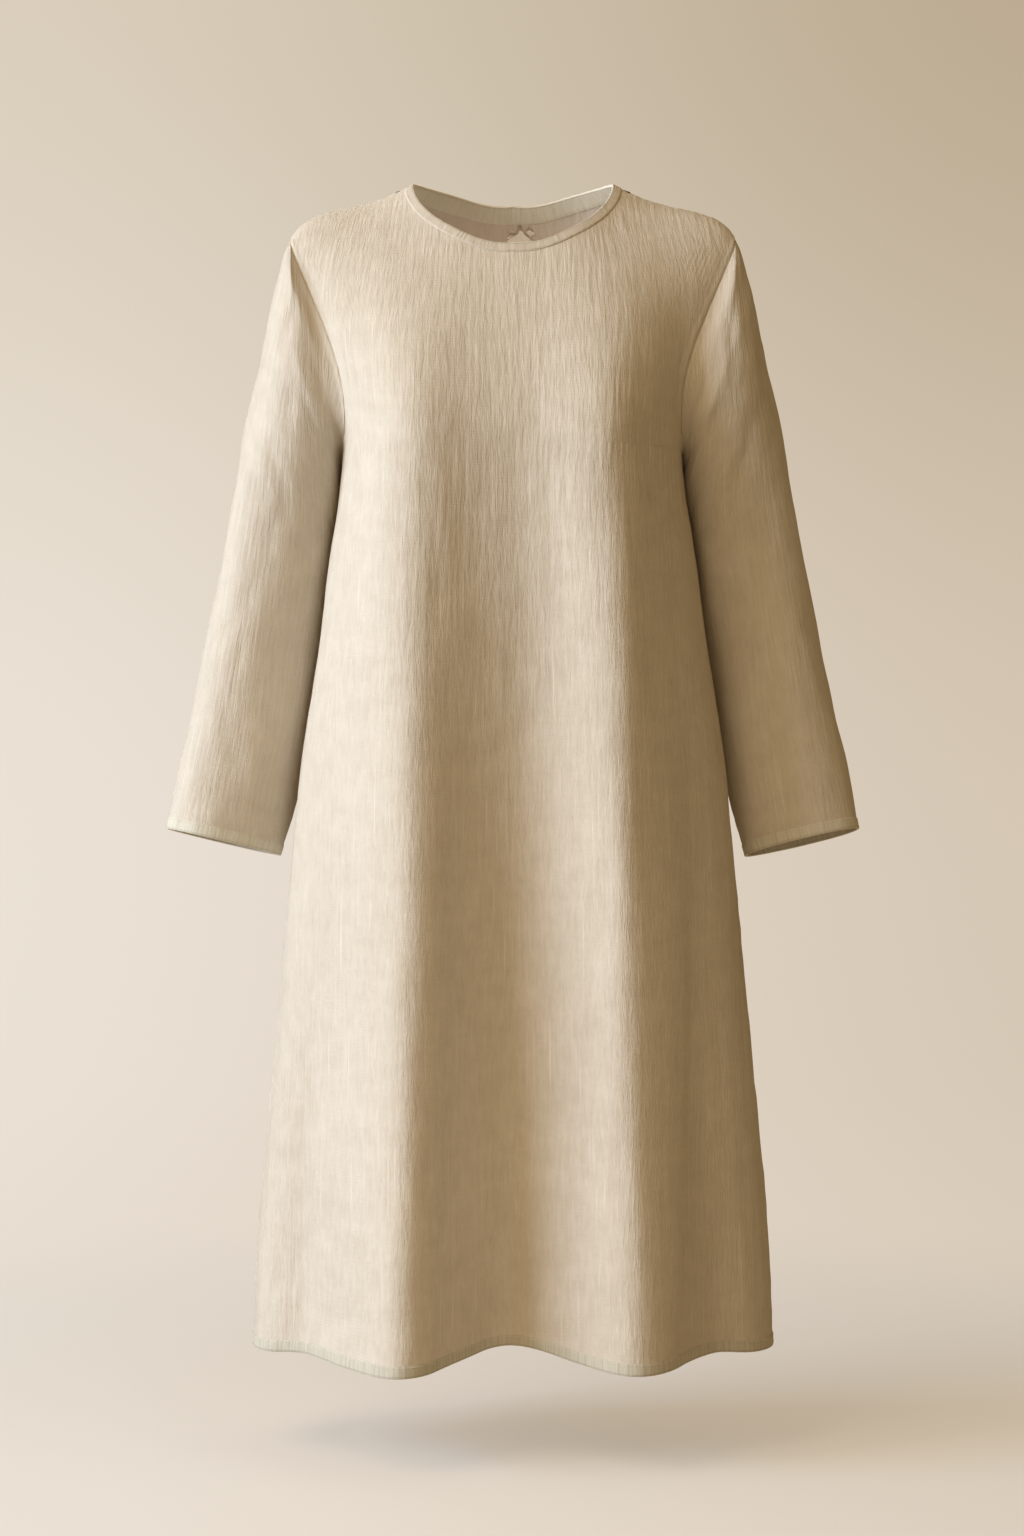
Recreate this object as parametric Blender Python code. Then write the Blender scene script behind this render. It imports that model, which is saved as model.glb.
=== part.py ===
"""A long-sleeved A-line dress of linen, filled out as if worn.

Metres, +Z up. The dress faces -Y, and the wearer's left is +X. The origin is midway between the two neck
points, where the wearer's shoulders carry the dress. Every cut piece is a thin wall of its own: front, back,
two sleeves, the bindings of neck, hem and cuffs, and the frayed stub of a label inside the back neck.

Two surfaces give every point. The body's surface is body(side, across, up): side is the front or the back,
across runs 0 to 0.5 from the wearer's right side seam to the left one, and up runs 0 at the hem, 1 at the
chest line and 2 at the shoulder line. The sleeve's surface is sleeve(hand, around, down): around runs once
round the sleeve from its underarm, and down runs 0 at the armhole and 1 at the cuff.
"""

from collections import namedtuple

import bmesh
import bpy
import numpy as np

# Cloth
CLOTH = 0.0012
BINDING = 0.0010
GAP = 0.0003

# Heights over the neck points
HEM = -1.1225
CHEST = -0.262

# The dress from its hem to the chest line: half the width, and how far its front and back stand out
BodyRow = namedtuple("BodyRow", "height half_width front back squareness")
BODY_ROWS = (
    BodyRow(-1.1225, 0.2520, 0.133, 0.126, 2.10),
    BodyRow(-1.0335, 0.2480, 0.130, 0.124, 2.12),
    BodyRow(-0.9365, 0.2400, 0.127, 0.122, 2.15),
    BodyRow(-0.8395, 0.2310, 0.124, 0.120, 2.20),
    BodyRow(-0.7425, 0.2220, 0.122, 0.118, 2.24),
    BodyRow(-0.6455, 0.2130, 0.119, 0.116, 2.28),
    BodyRow(-0.5485, 0.2030, 0.117, 0.114, 2.32),
    BodyRow(-0.4515, 0.1880, 0.116, 0.110, 2.38),
    BodyRow(-0.3545, 0.1755, 0.116, 0.107, 2.45),
    BodyRow(-0.3000, 0.1670, 0.117, 0.105, 2.50),
    BodyRow(-0.2620, 0.1640, 0.117, 0.104, 2.55),
)

# Soft pipes (out) and troughs (in), each from its start down to the hem, as its drop from there to the power
# growth. to_right and to_left are how far the fold reaches towards the wearer's right and left, and lift raises
# the hem under it.
Fold = namedtuple("Fold", "side x_start x_hem to_right to_left depth start growth lift")
FOLDS = (
    Fold("front", -0.105, -0.112, 0.052, 0.046, 0.045, -0.117, 0.34, -0.005),
    Fold("front", 0.020, -0.003, 0.047, 0.055, -0.046, -0.172, 1.08, 0.012),
    Fold("front", 0.095, 0.117, 0.048, 0.036, 0.043, -0.106, 0.32, -0.004),
    Fold("front", -0.170, -0.203, 0.030, 0.026, -0.018, -0.450, 1.35, 0.003),
    Fold("front", 0.165, 0.196, 0.026, 0.030, -0.020, -0.560, 1.35, 0.003),
    Fold("back", 0.010, 0.018, 0.050, 0.044, 0.040, -0.230, 0.70, -0.003),
    Fold("back", -0.096, -0.120, 0.050, 0.046, 0.034, -0.240, 0.60, -0.002),
    Fold("back", 0.114, 0.142, 0.040, 0.040, 0.032, -0.300, 0.65, -0.002),
    Fold("back", -0.050, -0.052, 0.028, 0.030, -0.024, -0.400, 1.20, 0.008),
    Fold("back", 0.070, 0.082, 0.030, 0.026, -0.022, -0.400, 1.20, 0.007),
)
LIFT_GROWTH = 7.0
START_WIDTH = 1.15  # a fold's width where it starts, as a share of its width at the hem
SIDE_FADE = 8  # the higher, the nearer the folds come to the side seams

# The ridge over the shoulders, from the right shoulder tip to the middle. It stays smooth across the neck,
# whose opening is cut out of it. Both tilts are how steeply the cloth crosses it, rising towards the back.
RidgeRow = namedtuple("RidgeRow", "across x z front_tilt back_tilt")
RIDGE_ROWS = (
    RidgeRow(0.000, -0.2135, -0.0530, 0.00, 0.00),
    RidgeRow(0.022, -0.2100, -0.0455, 0.00, 0.00),
    RidgeRow(0.050, -0.1985, -0.0352, 0.04, 0.02),
    RidgeRow(0.085, -0.1785, -0.0275, 0.14, 0.08),
    RidgeRow(0.125, -0.1400, -0.0185, 0.36, 0.20),
    RidgeRow(0.165, -0.0970, -0.0010, 0.68, 0.28),
    RidgeRow(0.208, -0.0480, 0.0260, 0.80, 0.20),
    RidgeRow(0.250, 0.0000, 0.0360, 0.80, 0.20),
)
NECK_POINT = 0.165
RISE = 0.300  # pull of the cloth straight up off the chest line
OVER = 0.150  # pull of the cloth over the ridge
SHOULDER_FILL = 0.021  # how far the side of the chest stands out half-way up
CHEST_FILL = -0.012  # the same for the middle of the front, which is flatter
BACK_FILL = 0.026  # and for the middle of the back

# How far the armhole reaches into the front and back, as a share of the way round the body
ARMHOLE = 0.116

# The neckline: how far below the ridge it lies at the middle, and the power that shapes its curve
NeckCut = namedtuple("NeckCut", "depth power")
NECK_CUTS = {"front": NeckCut(0.424, 1.00), "back": NeckCut(0.318, 1.15)}

# The sleeve below the armhole, on the wearer's left: the line on its outside, the line under the arm, and half
# its size from front to back
SleeveRow = namedtuple("SleeveRow", "outer_x outer_y outer_z inner_x inner_y inner_z half_depth")
SLEEVE_ROWS = (
    SleeveRow(0.2285, 0.000, -0.0860, 0.1690, 0.004, -0.2690, 0.0670),
    SleeveRow(0.2395, 0.002, -0.1300, 0.1730, 0.011, -0.2800, 0.0685),
    SleeveRow(0.2490, 0.005, -0.1770, 0.1760, 0.019, -0.2950, 0.0680),
    SleeveRow(0.2590, 0.009, -0.2280, 0.1780, 0.028, -0.3140, 0.0655),
    SleeveRow(0.2690, 0.013, -0.2820, 0.1795, 0.037, -0.3420, 0.0620),
    SleeveRow(0.2830, 0.017, -0.3560, 0.1830, 0.045, -0.3950, 0.0580),
    SleeveRow(0.2975, 0.018, -0.4340, 0.1915, 0.047, -0.4650, 0.0540),
    SleeveRow(0.3120, 0.016, -0.5120, 0.2015, 0.043, -0.5380, 0.0500),
    SleeveRow(0.3270, 0.012, -0.5770, 0.2140, 0.037, -0.6030, 0.0460),
    SleeveRow(0.3365, 0.009, -0.6245, 0.2285, 0.031, -0.6510, 0.0430),
)
SLEEVE_SQUARENESS = 2.15
LEFT, RIGHT = 1, -1
CUFF_TILT = {LEFT: 0.0055, RIGHT: 0.0030}  # the cuff's back edge hangs lower than its front by twice this

# Bindings: how far each leg reaches from the edge
HEM_LEG = 0.0105
CUFF_LEG = 0.0110
NECK_OUTER_LEG = 0.0090
NECK_INNER_LEG = 0.0180
FOLDED_EDGE = 0.3  # how far the turn round the edge stands off its own middle, as a share of the gap

# The scrap of tape inside the back neck: below the binding's inner leg, its left and right edges at each drop
StubRow = namedtuple("StubRow", "drop from_x to_x")
STUB_ROWS = (
    StubRow(0.0060, 0.0055, 0.0085),
    StubRow(0.0090, 0.0030, 0.0110),
    StubRow(0.0130, -0.0010, 0.0150),
    StubRow(0.0180, -0.0030, 0.0165),
    StubRow(0.0215, -0.0015, 0.0140),
)
STUB_COLUMNS = 5
STUB_GAP = 0.0005

# Grid of each piece
PANEL_COLUMNS = {"front": (9, 22), "back": (8, 16)}  # under each shoulder, and under the neck
SKIRT_ROWS = 11
YOKE_ROWS = 12
SLEEVE_RINGS = 15

# Colours, linear
LINEN = (0.545, 0.447, 0.318)
SAGE = (0.480, 0.440, 0.340)
PALE_TAPE = (0.700, 0.620, 0.500)
LINEN_ROUGHNESS = 0.92
SHARP_DEGREES = 40  # edges over this angle are drawn sharp

TURN = 2 * np.pi
STEP = 1e-4  # parameter step for directions on a surface


def smooth_curve(knots, values, at, level_end=False):
    """Cubics through the values at the knots. The slope at a knot is the harmonic mean of the two beside it,
    and 0 where those differ in sign, so the curve never overshoots; level_end makes the last slope 0."""
    knots = np.asarray(knots, float)
    values = np.asarray(values, float)
    at = np.clip(np.asarray(at, float), knots[0], knots[-1])
    width = np.diff(knots).reshape((-1,) + (1,) * (values.ndim - 1))
    rate = np.diff(values, axis=0) / width
    product = rate[:-1] * rate[1:]
    total = rate[:-1] + rate[1:]
    inner = np.where(product > 0, 2 * product / np.where(total == 0, 1, total), 0)
    last = np.zeros_like(rate[-1:]) if level_end else rate[-1:]
    slope = np.concatenate([rate[:1], inner, last])
    i = np.clip(np.searchsorted(knots, at, side="right") - 1, 0, len(knots) - 2)
    step = knots[i + 1] - knots[i]
    t = (at - knots[i]) / step
    more = (...,) + (None,) * (values.ndim - 1)
    t, step = t[more], step[more]
    return (
        (1 + 2 * t) * (1 - t) ** 2 * values[i]
        + t * (1 - t) ** 2 * step * slope[i]
        + t**2 * (3 - 2 * t) * values[i + 1]
        - t**2 * (1 - t) * step * slope[i + 1]
    )


def column(rows, name):
    return np.array([getattr(row, name) for row in rows])


def unit(vectors):
    return vectors / np.linalg.norm(vectors, axis=-1, keepdims=True)


def rounded(angle, squareness):
    """Sine and cosine of the angle, both over (|sine|^n + |cosine|^n)^(1/n): an ellipse at n = 2, and squarer
    above that."""
    sine, cosine = np.sin(angle), np.cos(angle)
    size = (np.abs(sine) ** squareness + np.abs(cosine) ** squareness) ** (1 / squareness)
    return sine / size, cosine / size


def facing(side):
    return -1.0 if side == "front" else 1.0


def skirt(side, across, up):
    """From the hem (up = 0) to the chest line (up = 1): rounded sections from the table, and on each fold
    depth times (how far down it is)^growth times a bell exp(-(distance / reach)^2), faded out at the sides."""
    height = HEM + up * (CHEST - HEM)
    knots = column(BODY_ROWS, "height")
    half_width, deep, squareness = (
        smooth_curve(knots, column(BODY_ROWS, name), height, level_end=True)
        for name in ("half_width", side, "squareness")
    )
    sine, cosine = rounded((across - 0.25) * TURN, squareness)
    x = half_width * sine
    y = facing(side) * deep * cosine
    z = height
    fade = 1 - np.abs(sine) ** SIDE_FADE
    for fold in (fold for fold in FOLDS if fold.side == side):
        below = np.clip((fold.start - height) / (fold.start - HEM), 0, 1)
        away = x - (fold.x_start + (fold.x_hem - fold.x_start) * below)
        reach = np.where(away < 0, fold.to_right, fold.to_left) * (START_WIDTH + (1 - START_WIDTH) * below)
        bell = np.exp(-((away / reach) ** 2)) * fade
        y = y + facing(side) * fold.depth * below**fold.growth * bell
        z = z + fold.lift * below**LIFT_GROWTH * bell
    return np.stack([x, y, z], axis=-1)


def ridge_value(across, name):
    """A column of the ridge's table, which is the right half, mirrored for the left."""
    from_tip = 0.25 - np.abs(across - 0.25)
    return smooth_curve(column(RIDGE_ROWS, "across"), column(RIDGE_ROWS, name), from_tip)


def ridge(across):
    """The line over the shoulders."""
    x = ridge_value(across, "x")
    return np.stack([np.where(across > 0.25, -x, x), np.zeros_like(x), ridge_value(across, "z")], axis=-1)


def yoke(side, across, rise):
    """From the chest line (rise = 0) to the ridge (rise = 1): a cubic in each column, which leaves the chest
    line as the skirt comes up to it and meets the ridge level, filled out by 16 rise^2 (1 - rise)^2 half-way."""
    across, rise = np.broadcast_arrays(np.asarray(across, float), np.asarray(rise, float))
    foot = skirt(side, across, np.ones_like(across))
    top = ridge(across)
    t = rise[..., None]
    below = skirt(side, across, np.full_like(across, 1 - STEP))
    start = RISE * (foot - below) / (STEP * (CHEST - HEM))
    tilt = ridge_value(across, side + "_tilt")
    end = np.stack([np.zeros_like(tilt), np.full_like(tilt, OVER), OVER * tilt], axis=-1) * -facing(side)
    points = (
        (1 + 2 * t) * (1 - t) ** 2 * foot
        + t * (1 - t) ** 2 * start
        + t**2 * (3 - 2 * t) * top
        - t**2 * (1 - t) * end
    )
    sideways = np.sin((across - 0.25) * TURN)
    forward = np.cos((across - 0.25) * TURN)
    fill = 16 * rise**2 * (1 - rise) ** 2
    middle_fill = CHEST_FILL if side == "front" else BACK_FILL
    points = points + np.stack(
        [
            fill * SHOULDER_FILL * sideways**3,
            fill * facing(side) * middle_fill * forward,
            np.zeros_like(fill),
        ],
        axis=-1,
    )
    return points


def body(side, across, up):
    """The body's surface: the skirt up to the chest line, and the yoke above it."""
    across, up = np.broadcast_arrays(np.asarray(across, float), np.asarray(up, float))
    low = skirt(side, across, np.minimum(up, 1))
    high = yoke(side, across, np.maximum(up - 1, 0))
    return np.where((up > 1)[..., None], high, low)


def body_directions(side, across, up):
    """The surface's directions across and up, and its outward normal."""
    low, high = np.maximum(up - STEP, 0), np.minimum(up + STEP, 2)
    along = (body(side, across + STEP, up) - body(side, across - STEP, up)) / (2 * STEP)
    upward = (body(side, across, high) - body(side, across, low)) / (high - low)[..., None]
    return along, upward, unit(np.cross(along, upward)) * -facing(side)


def body_frame(side, across, up):
    """The surface's point, its directions and its normal. On the shoulder line the normal is the mean of the
    front's and the back's, so that both panels end square to one plane."""
    along, upward, normal = body_directions(side, across, up)
    other = body_directions("back" if side == "front" else "front", across, up)[2]
    normal = np.where((up >= 2)[..., None], unit(normal + other), normal)
    return body(side, across, up), along, upward, normal


def walk(side, across, up, direction, distance, steps=4):
    """Follows the surface from each point for a distance, in a direction kept flat to it."""
    distance = np.broadcast_to(distance, across.shape)[..., None]
    for _ in range(steps):
        _, along, upward, normal = body_frame(side, across, up)
        direction = unit(direction - (direction * normal).sum(-1, keepdims=True) * normal)
        move = direction * distance / steps
        along_along, up_up, along_up, along_move, up_move = (
            (first * second).sum(-1)
            for first, second in (
                (along, along), (upward, upward), (along, upward), (along, move), (upward, move)
            )
        )
        scale = along_along * up_up - along_up**2
        across = across + (up_up * along_move - along_up * up_move) / scale
        up = up + (along_along * up_move - along_up * along_move) / scale
    return across, up


def armhole(rise_angle):
    """The armhole on the right side, in across and up, from the underarm (0) to the shoulder tip (pi): an oval
    that narrows towards the tip, reach times sin(angle) times (1 - rise)."""
    rise = (1 - np.cos(rise_angle)) / 2
    return ARMHOLE * np.sin(rise_angle) * (1 - rise), 1 + rise


def neckline(side, angle):
    """The neckline from the right neck point (0) to the left one (pi), in across and up."""
    cut = NECK_CUTS[side]
    across = 0.25 - (0.25 - NECK_POINT) * np.cos(angle)
    return across, 2 - cut.depth * np.sin(angle) ** cut.power


def neck_rows(side, angle, distances):
    """Rows of the panel that run beside the neckline: (across, up) at each distance from it."""
    across, up = neckline(side, angle)
    point, _, _, normal = body_frame(side, across, up)
    nearby = body(side, *neckline(side, np.clip(angle + STEP, 0, np.pi)))
    before = body(side, *neckline(side, np.clip(angle - STEP, 0, np.pi)))
    inward = unit(np.cross(normal, nearby - before)) * -facing(side)
    into_cloth = -inward * np.sign((inward * (-point * [1, 1, 0])).sum(-1, keepdims=True))
    rows = [(across, up)]
    for distance in distances:
        rows.append(walk(side, across, up, into_cloth, distance))
    for row_across, row_up in rows:
        row_up[[0, -1]] = 2.0
    return rows


def panel_grid(side):
    """(across, up) of every point of a panel, rows from the hem to the top. The columns under the neck go on
    through the rows beside the neckline, and the rest end on the shoulder seam."""
    under_shoulder, under_neck = PANEL_COLUMNS[side]
    neck_angle = np.linspace(0, np.pi, under_neck + 1)
    beside_neck = neck_rows(side, neck_angle, (NECK_OUTER_LEG, NECK_INNER_LEG))
    band_across, band_up = beside_neck[-1]
    shoulder = np.linspace(0, 1, under_shoulder + 1)[:-1] * band_across[0]
    top_across = np.concatenate([shoulder, band_across, 0.5 - shoulder[::-1]])
    top_rise = np.concatenate([np.ones(under_shoulder), band_up - 1, np.ones(under_shoulder)])
    share = np.linspace(0, 1, len(top_across))
    skirt_up = np.concatenate([[0, HEM_LEG / (CHEST - HEM)], np.linspace(0, 1, SKIRT_ROWS)[1:-1]])
    skirt_across = np.broadcast_to(share / 2, (len(skirt_up), len(share)))
    skirt_up = np.broadcast_to(skirt_up[:, None], skirt_across.shape)
    reach, level = (part[:, None] for part in armhole(np.linspace(0, np.pi, YOKE_ROWS + 1)))
    rise = level - 1
    near_armhole = np.clip(1 - np.abs([share, 1 - share]) / share[under_shoulder], 0, 1)
    towards_middle = (1 - rise) * (1 - 2 * share) + rise * (near_armhole[0] - near_armhole[1])
    yoke_across = (1 - rise) * share / 2 + rise * top_across + towards_middle * reach
    yoke_up = 1 + rise * top_rise
    across = np.concatenate([skirt_across, yoke_across])
    up = np.concatenate([skirt_up, yoke_up])
    return across, up, beside_neck[:-1][::-1], under_shoulder


def armhole_loop(hand, around):
    """The body's points and normals round an armhole: up its front from the underarm, and down its back."""
    across, up = armhole(np.where(around <= 0.5, around, 1 - around) * TURN)
    if hand == LEFT:
        across = 0.5 - across
    frames = [body_frame(side, across, up) for side in ("front", "back")]
    on_front = (around <= 0.5)[:, None]
    return tuple(np.where(on_front, frames[0][part], frames[1][part]) for part in (0, 3))


def sleeve_rings(hand, around):
    """The armhole's loop and the table's sections, each at the same places round the sleeve."""
    rings = [armhole_loop(hand, around)[0]]
    for row in SLEEVE_ROWS:
        outer = np.array([hand * row.outer_x, row.outer_y, row.outer_z])
        inner = np.array([hand * row.inner_x, row.inner_y, row.inner_z])
        share = (row.outer_z - SLEEVE_ROWS[0].outer_z) / (SLEEVE_ROWS[-1].outer_z - SLEEVE_ROWS[0].outer_z)
        depth = np.array([0.0, row.half_depth, -CUFF_TILT[hand] * share])
        sine, cosine = rounded(around * TURN, SLEEVE_SQUARENESS)
        rings.append((outer + inner) / 2 - cosine[:, None] * (outer - inner) / 2 - sine[:, None] * depth)
    return np.stack(rings)


def sleeve(hand, around, down):
    """The sleeve's surface, a grid of down by around: smooth curves from the armhole through every section."""
    rings = sleeve_rings(hand, around)
    return smooth_curve(np.linspace(0, 1, len(rings)), rings, down)


def sleeve_frame(hand, around, down):
    """The sleeve's points, its direction down the arm, and its outward normals."""
    low, high = np.maximum(down - STEP, 0), np.minimum(down + STEP, 1)
    along = sleeve(hand, (around + STEP) % 1, down) - sleeve(hand, (around - STEP) % 1, down)
    downward = (sleeve(hand, around, high) - sleeve(hand, around, low)) / (high - low)[:, None, None]
    normal = unit(np.cross(downward, along)) * hand
    return sleeve(hand, around, down), downward, normal


def quad_faces(a, b, c, d, turned):
    """Two triangles for each quad, cut from a to c, or from b to d where turned."""
    turned = np.broadcast_to(turned, a.shape)[:, None]
    return np.concatenate(
        [
            np.where(turned, np.stack([a, b, d], -1), np.stack([a, b, c], -1)),
            np.where(turned, np.stack([b, c, d], -1), np.stack([a, c, d], -1)),
        ]
    )


def grid_faces(rows, columns, closed, turned=False):
    """Triangles of a grid; closed joins the last column to the first, and turned picks each quad's diagonal."""
    last = columns if closed else columns - 1
    i, j = (part.ravel() for part in np.meshgrid(np.arange(rows - 1), np.arange(last), indexing="ij"))
    a, b = i * columns + j, i * columns + (j + 1) % columns
    return quad_faces(a, b, b + columns, a + columns, np.ravel(turned))


def rim_edges(faces):
    """The edges that only one triangle has, in that triangle's direction."""
    ends = np.concatenate([faces[:, [0, 1]], faces[:, [1, 2]], faces[:, [2, 0]]])
    _, index, count = np.unique(np.sort(ends, axis=1), axis=0, return_inverse=True, return_counts=True)
    return ends[count[index.reshape(-1)] == 1]


def linen_material(name, colour):
    material = bpy.data.materials.new(name)
    material.use_nodes = True
    shader = material.node_tree.nodes["Principled BSDF"]
    shader.inputs["Base Color"].default_value = (*colour, 1.0)
    shader.inputs["Roughness"].default_value = LINEN_ROUGHNESS
    shader.inputs["Metallic"].default_value = 0.0
    return material


def add_piece(name, points, faces, material):
    """One closed mesh, its faces turned outwards and shaded smooth."""
    mesh = bpy.data.meshes.new(name)
    mesh.from_pydata(points.tolist(), [], faces.tolist())
    work = bmesh.new()
    work.from_mesh(mesh)
    bmesh.ops.recalc_face_normals(work, faces=work.faces)
    work.to_mesh(mesh)
    work.free()
    mesh.shade_smooth()
    mesh.set_sharp_from_angle(angle=np.radians(SHARP_DEGREES))
    mesh.materials.append(material)
    piece = bpy.data.objects.new(name, mesh)
    bpy.context.scene.collection.objects.link(piece)
    return piece


def add_wall(name, outer, inner, faces, material):
    """A wall between two point sets with the same triangles, closed along its rim."""
    count = len(outer)
    rim = rim_edges(faces)
    sides = np.concatenate(
        [
            np.stack([rim[:, 1], rim[:, 0], rim[:, 0] + count], -1),
            np.stack([rim[:, 1], rim[:, 0] + count, rim[:, 1] + count], -1),
        ]
    )
    return add_piece(
        name,
        np.concatenate([outer, inner]),
        np.concatenate([faces, faces[:, ::-1] + count, sides]),
        material,
    )


def add_panel(side, material):
    """A front or back: the grid up to the rows beside the neckline, then those rows, all one wall. Its edges at
    the side and shoulder seams stay half a gap off the plane that they meet in."""
    across, up, beside_neck, under_shoulder = panel_grid(side)
    rows, columns = across.shape
    faces = grid_faces(rows, columns, closed=False)
    points_across, points_up = across.ravel(), up.ravel()
    edge = (rows - 1) * columns + under_shoulder
    previous = edge + np.arange(len(beside_neck[0][0]))
    for row_across, row_up in beside_neck:
        new = len(points_across) + np.arange(len(row_across))
        points_across = np.concatenate([points_across, row_across])
        points_up = np.concatenate([points_up, row_up])
        strip = quad_faces(previous[:-1], previous[1:], new[1:], new[:-1], True)
        faces = np.concatenate([faces, strip])
        previous = new
    outer, _, _, normal = body_frame(side, points_across, points_up)
    inner = outer - CLOTH * normal
    for points in (outer, inner):
        points[:, 1] = facing(side) * np.maximum(facing(side) * points[:, 1], GAP / 2)
    return add_wall(f"{side}_panel", outer, inner, faces, material)


def add_sleeve(hand, name, around, material):
    """A sleeve. Its top ring keeps one gap off the armhole's edge: beside it where the sleeve carries on from
    the body, and in front of it under the arm, where the sleeve folds back down over the body."""
    down = np.concatenate([np.linspace(0, 1, SLEEVE_RINGS + 1)[:-1], [cuff_line(hand, around), 1.0]])
    outer, _, normal = sleeve_frame(hand, around, down)
    loop, body_normal = armhole_loop(hand, around)
    edge = np.roll(loop, -1, axis=0) - np.roll(loop, 1, axis=0)
    off_panel = unit(np.cross(edge, body_normal)) * hand
    turn = (normal[0] * body_normal).sum(-1, keepdims=True)
    beside = (normal[0] * off_panel).sum(-1, keepdims=True)
    clear = np.where(turn >= 0, off_panel, -normal[0])
    thick = np.where((turn >= 0) & (beside > 0), body_normal, normal[0])
    inner = outer - CLOTH * normal
    outer[0] = loop + GAP * clear
    inner[0] = outer[0] - CLOTH * thick
    faces = grid_faces(len(down), len(around), closed=True)
    return add_wall(name, outer.reshape(-1, 3), inner.reshape(-1, 3), faces, material)


def cuff_line(hand, around):
    """How far down the sleeve the cuff's binding begins."""
    _, downward, _ = sleeve_frame(hand, around, np.array([1.0]))
    return 1 - CUFF_LEG / np.linalg.norm(downward[0], axis=-1).mean()


def add_binding(name, away, outside, inside, turned, material):
    """A folded strip round an edge, closed in a ring. outside and inside are rows of (points, normals) from the
    edge to the end of each leg, and away points off the edge. Every point is a cloth point moved out: a gap off
    the cloth, the strip's own thickness beyond it, and the same past the edge. The quads are cut along the
    cloth's own diagonals, which run from the edge to the next place's deeper row, or back where turned."""
    near, far = GAP, GAP + BINDING
    edge_point, edge_normal = outside[0]
    section = [(row, point + far * normal) for row, (point, normal) in reversed(list(enumerate(outside)))]
    section.append((0, edge_point + far * away + FOLDED_EDGE * near * edge_normal))
    section.append((0, edge_point + far * away - (CLOTH + FOLDED_EDGE * near) * edge_normal))
    section += [(row, point - (CLOTH + far) * normal) for row, (point, normal) in enumerate(inside)]
    deeper = list(enumerate(inside))[1:]
    section += [(row, point - (CLOTH + near) * normal) for row, (point, normal) in reversed(deeper)]
    section.append((0, edge_point + near * away - (CLOTH + near) * edge_normal))
    section.append((0, edge_point + near * away + near * edge_normal))
    section += [(row, point + near * normal) for row, (point, normal) in list(enumerate(outside))[1:]]
    depth = np.array([row for row, _ in section + section[:1]])
    towards_edge = depth[:-1] > depth[1:]
    rows, columns = len(section), len(edge_point)
    points = np.concatenate([points for _, points in section])
    diagonals = towards_edge[:, None] != np.broadcast_to(turned, columns)
    faces = grid_faces(rows + 1, columns, closed=True, turned=diagonals) % (rows * columns)
    return add_piece(name, points, faces, material)


def ring_of(front_part, back_part):
    """The front's places from right to left, then the back's from left to right, without the shared ends."""
    return np.concatenate([front_part, back_part[1:-1][::-1]])


def back_places(front_count, back_count):
    """True for the places of such a ring that lead on to the back."""
    return np.arange(front_count + back_count - 2) >= front_count - 1


def add_hem_binding(material):
    rows = {}
    for side in ("front", "back"):
        across, up, _, _ = panel_grid(side)
        rows[side] = [body_frame(side, across[row], up[row]) for row in (0, 1)]
    legs = [
        (
            ring_of(rows["front"][row][0], rows["back"][row][0]),
            ring_of(rows["front"][row][3], rows["back"][row][3]),
        )
        for row in (0, 1)
    ]
    away = -unit(ring_of(rows["front"][0][2], rows["back"][0][2]))
    turned = back_places(len(rows["front"][0][0]), len(rows["back"][0][0]))
    return add_binding("hem_binding", away, legs, legs, turned, material)


def add_neck_binding(material):
    legs, away = {}, {}
    for side in ("front", "back"):
        angle = np.linspace(0, np.pi, PANEL_COLUMNS[side][1] + 1)
        rows = neck_rows(side, angle, (NECK_OUTER_LEG, NECK_INNER_LEG))
        frames = [body_frame(side, *row) for row in rows]
        legs[side] = [(frame[0], frame[3]) for frame in frames]
        away[side] = unit(frames[0][0] - frames[1][0])
    joined = [
        (ring_of(front[0], back[0]), ring_of(front[1], back[1]))
        for front, back in zip(legs["front"], legs["back"])
    ]
    off_edge = ring_of(away["front"], away["back"])
    turned = back_places(len(away["front"]), len(away["back"]))
    return add_binding("neck_binding", off_edge, joined[:2], joined, turned, material)


def add_cuff_binding(hand, name, around, material):
    down = np.array([1.0, cuff_line(hand, around)])
    points, downward, normal = sleeve_frame(hand, around, down)
    legs = [(points[row], normal[row]) for row in (0, 1)]
    return add_binding(name, unit(downward[0]), legs, legs, True, material)


def add_label_stub(material):
    """A scrap of tape on the back panel's inner face, caught at its narrow top under the neck binding."""
    sideways = np.concatenate([np.linspace(row.from_x, row.to_x, STUB_COLUMNS) for row in STUB_ROWS])
    drop = np.repeat(column(STUB_ROWS, "drop"), STUB_COLUMNS)
    across, up = neckline("back", np.full_like(drop, np.pi / 2))
    across, up = walk("back", across, up, np.array([1.0, 0.0, 0.0]), sideways)
    across, up = walk("back", across, up, np.array([0.0, 0.0, -1.0]), NECK_INNER_LEG + drop)
    point, _, _, normal = body_frame("back", across, up)
    near = point - (CLOTH + STUB_GAP) * normal
    far = near - BINDING * normal
    faces = grid_faces(len(STUB_ROWS), STUB_COLUMNS, closed=False)
    return add_wall("label_stub", near, far, faces, material)


def main():
    for old in list(bpy.data.objects):
        bpy.data.objects.remove(old)
    linen = linen_material("linen", LINEN)
    sage = linen_material("sage linen", SAGE)
    tape = linen_material("label tape", PALE_TAPE)
    around = np.arange(2 * YOKE_ROWS) / (2 * YOKE_ROWS)
    for side in ("front", "back"):
        add_panel(side, linen)
    for hand, word in ((LEFT, "left"), (RIGHT, "right")):
        add_sleeve(hand, f"sleeve_{word}", around, linen)
        add_cuff_binding(hand, f"cuff_binding_{word}", around, sage)
    add_neck_binding(sage)
    add_hem_binding(sage)
    add_label_stub(tape)


main()
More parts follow.
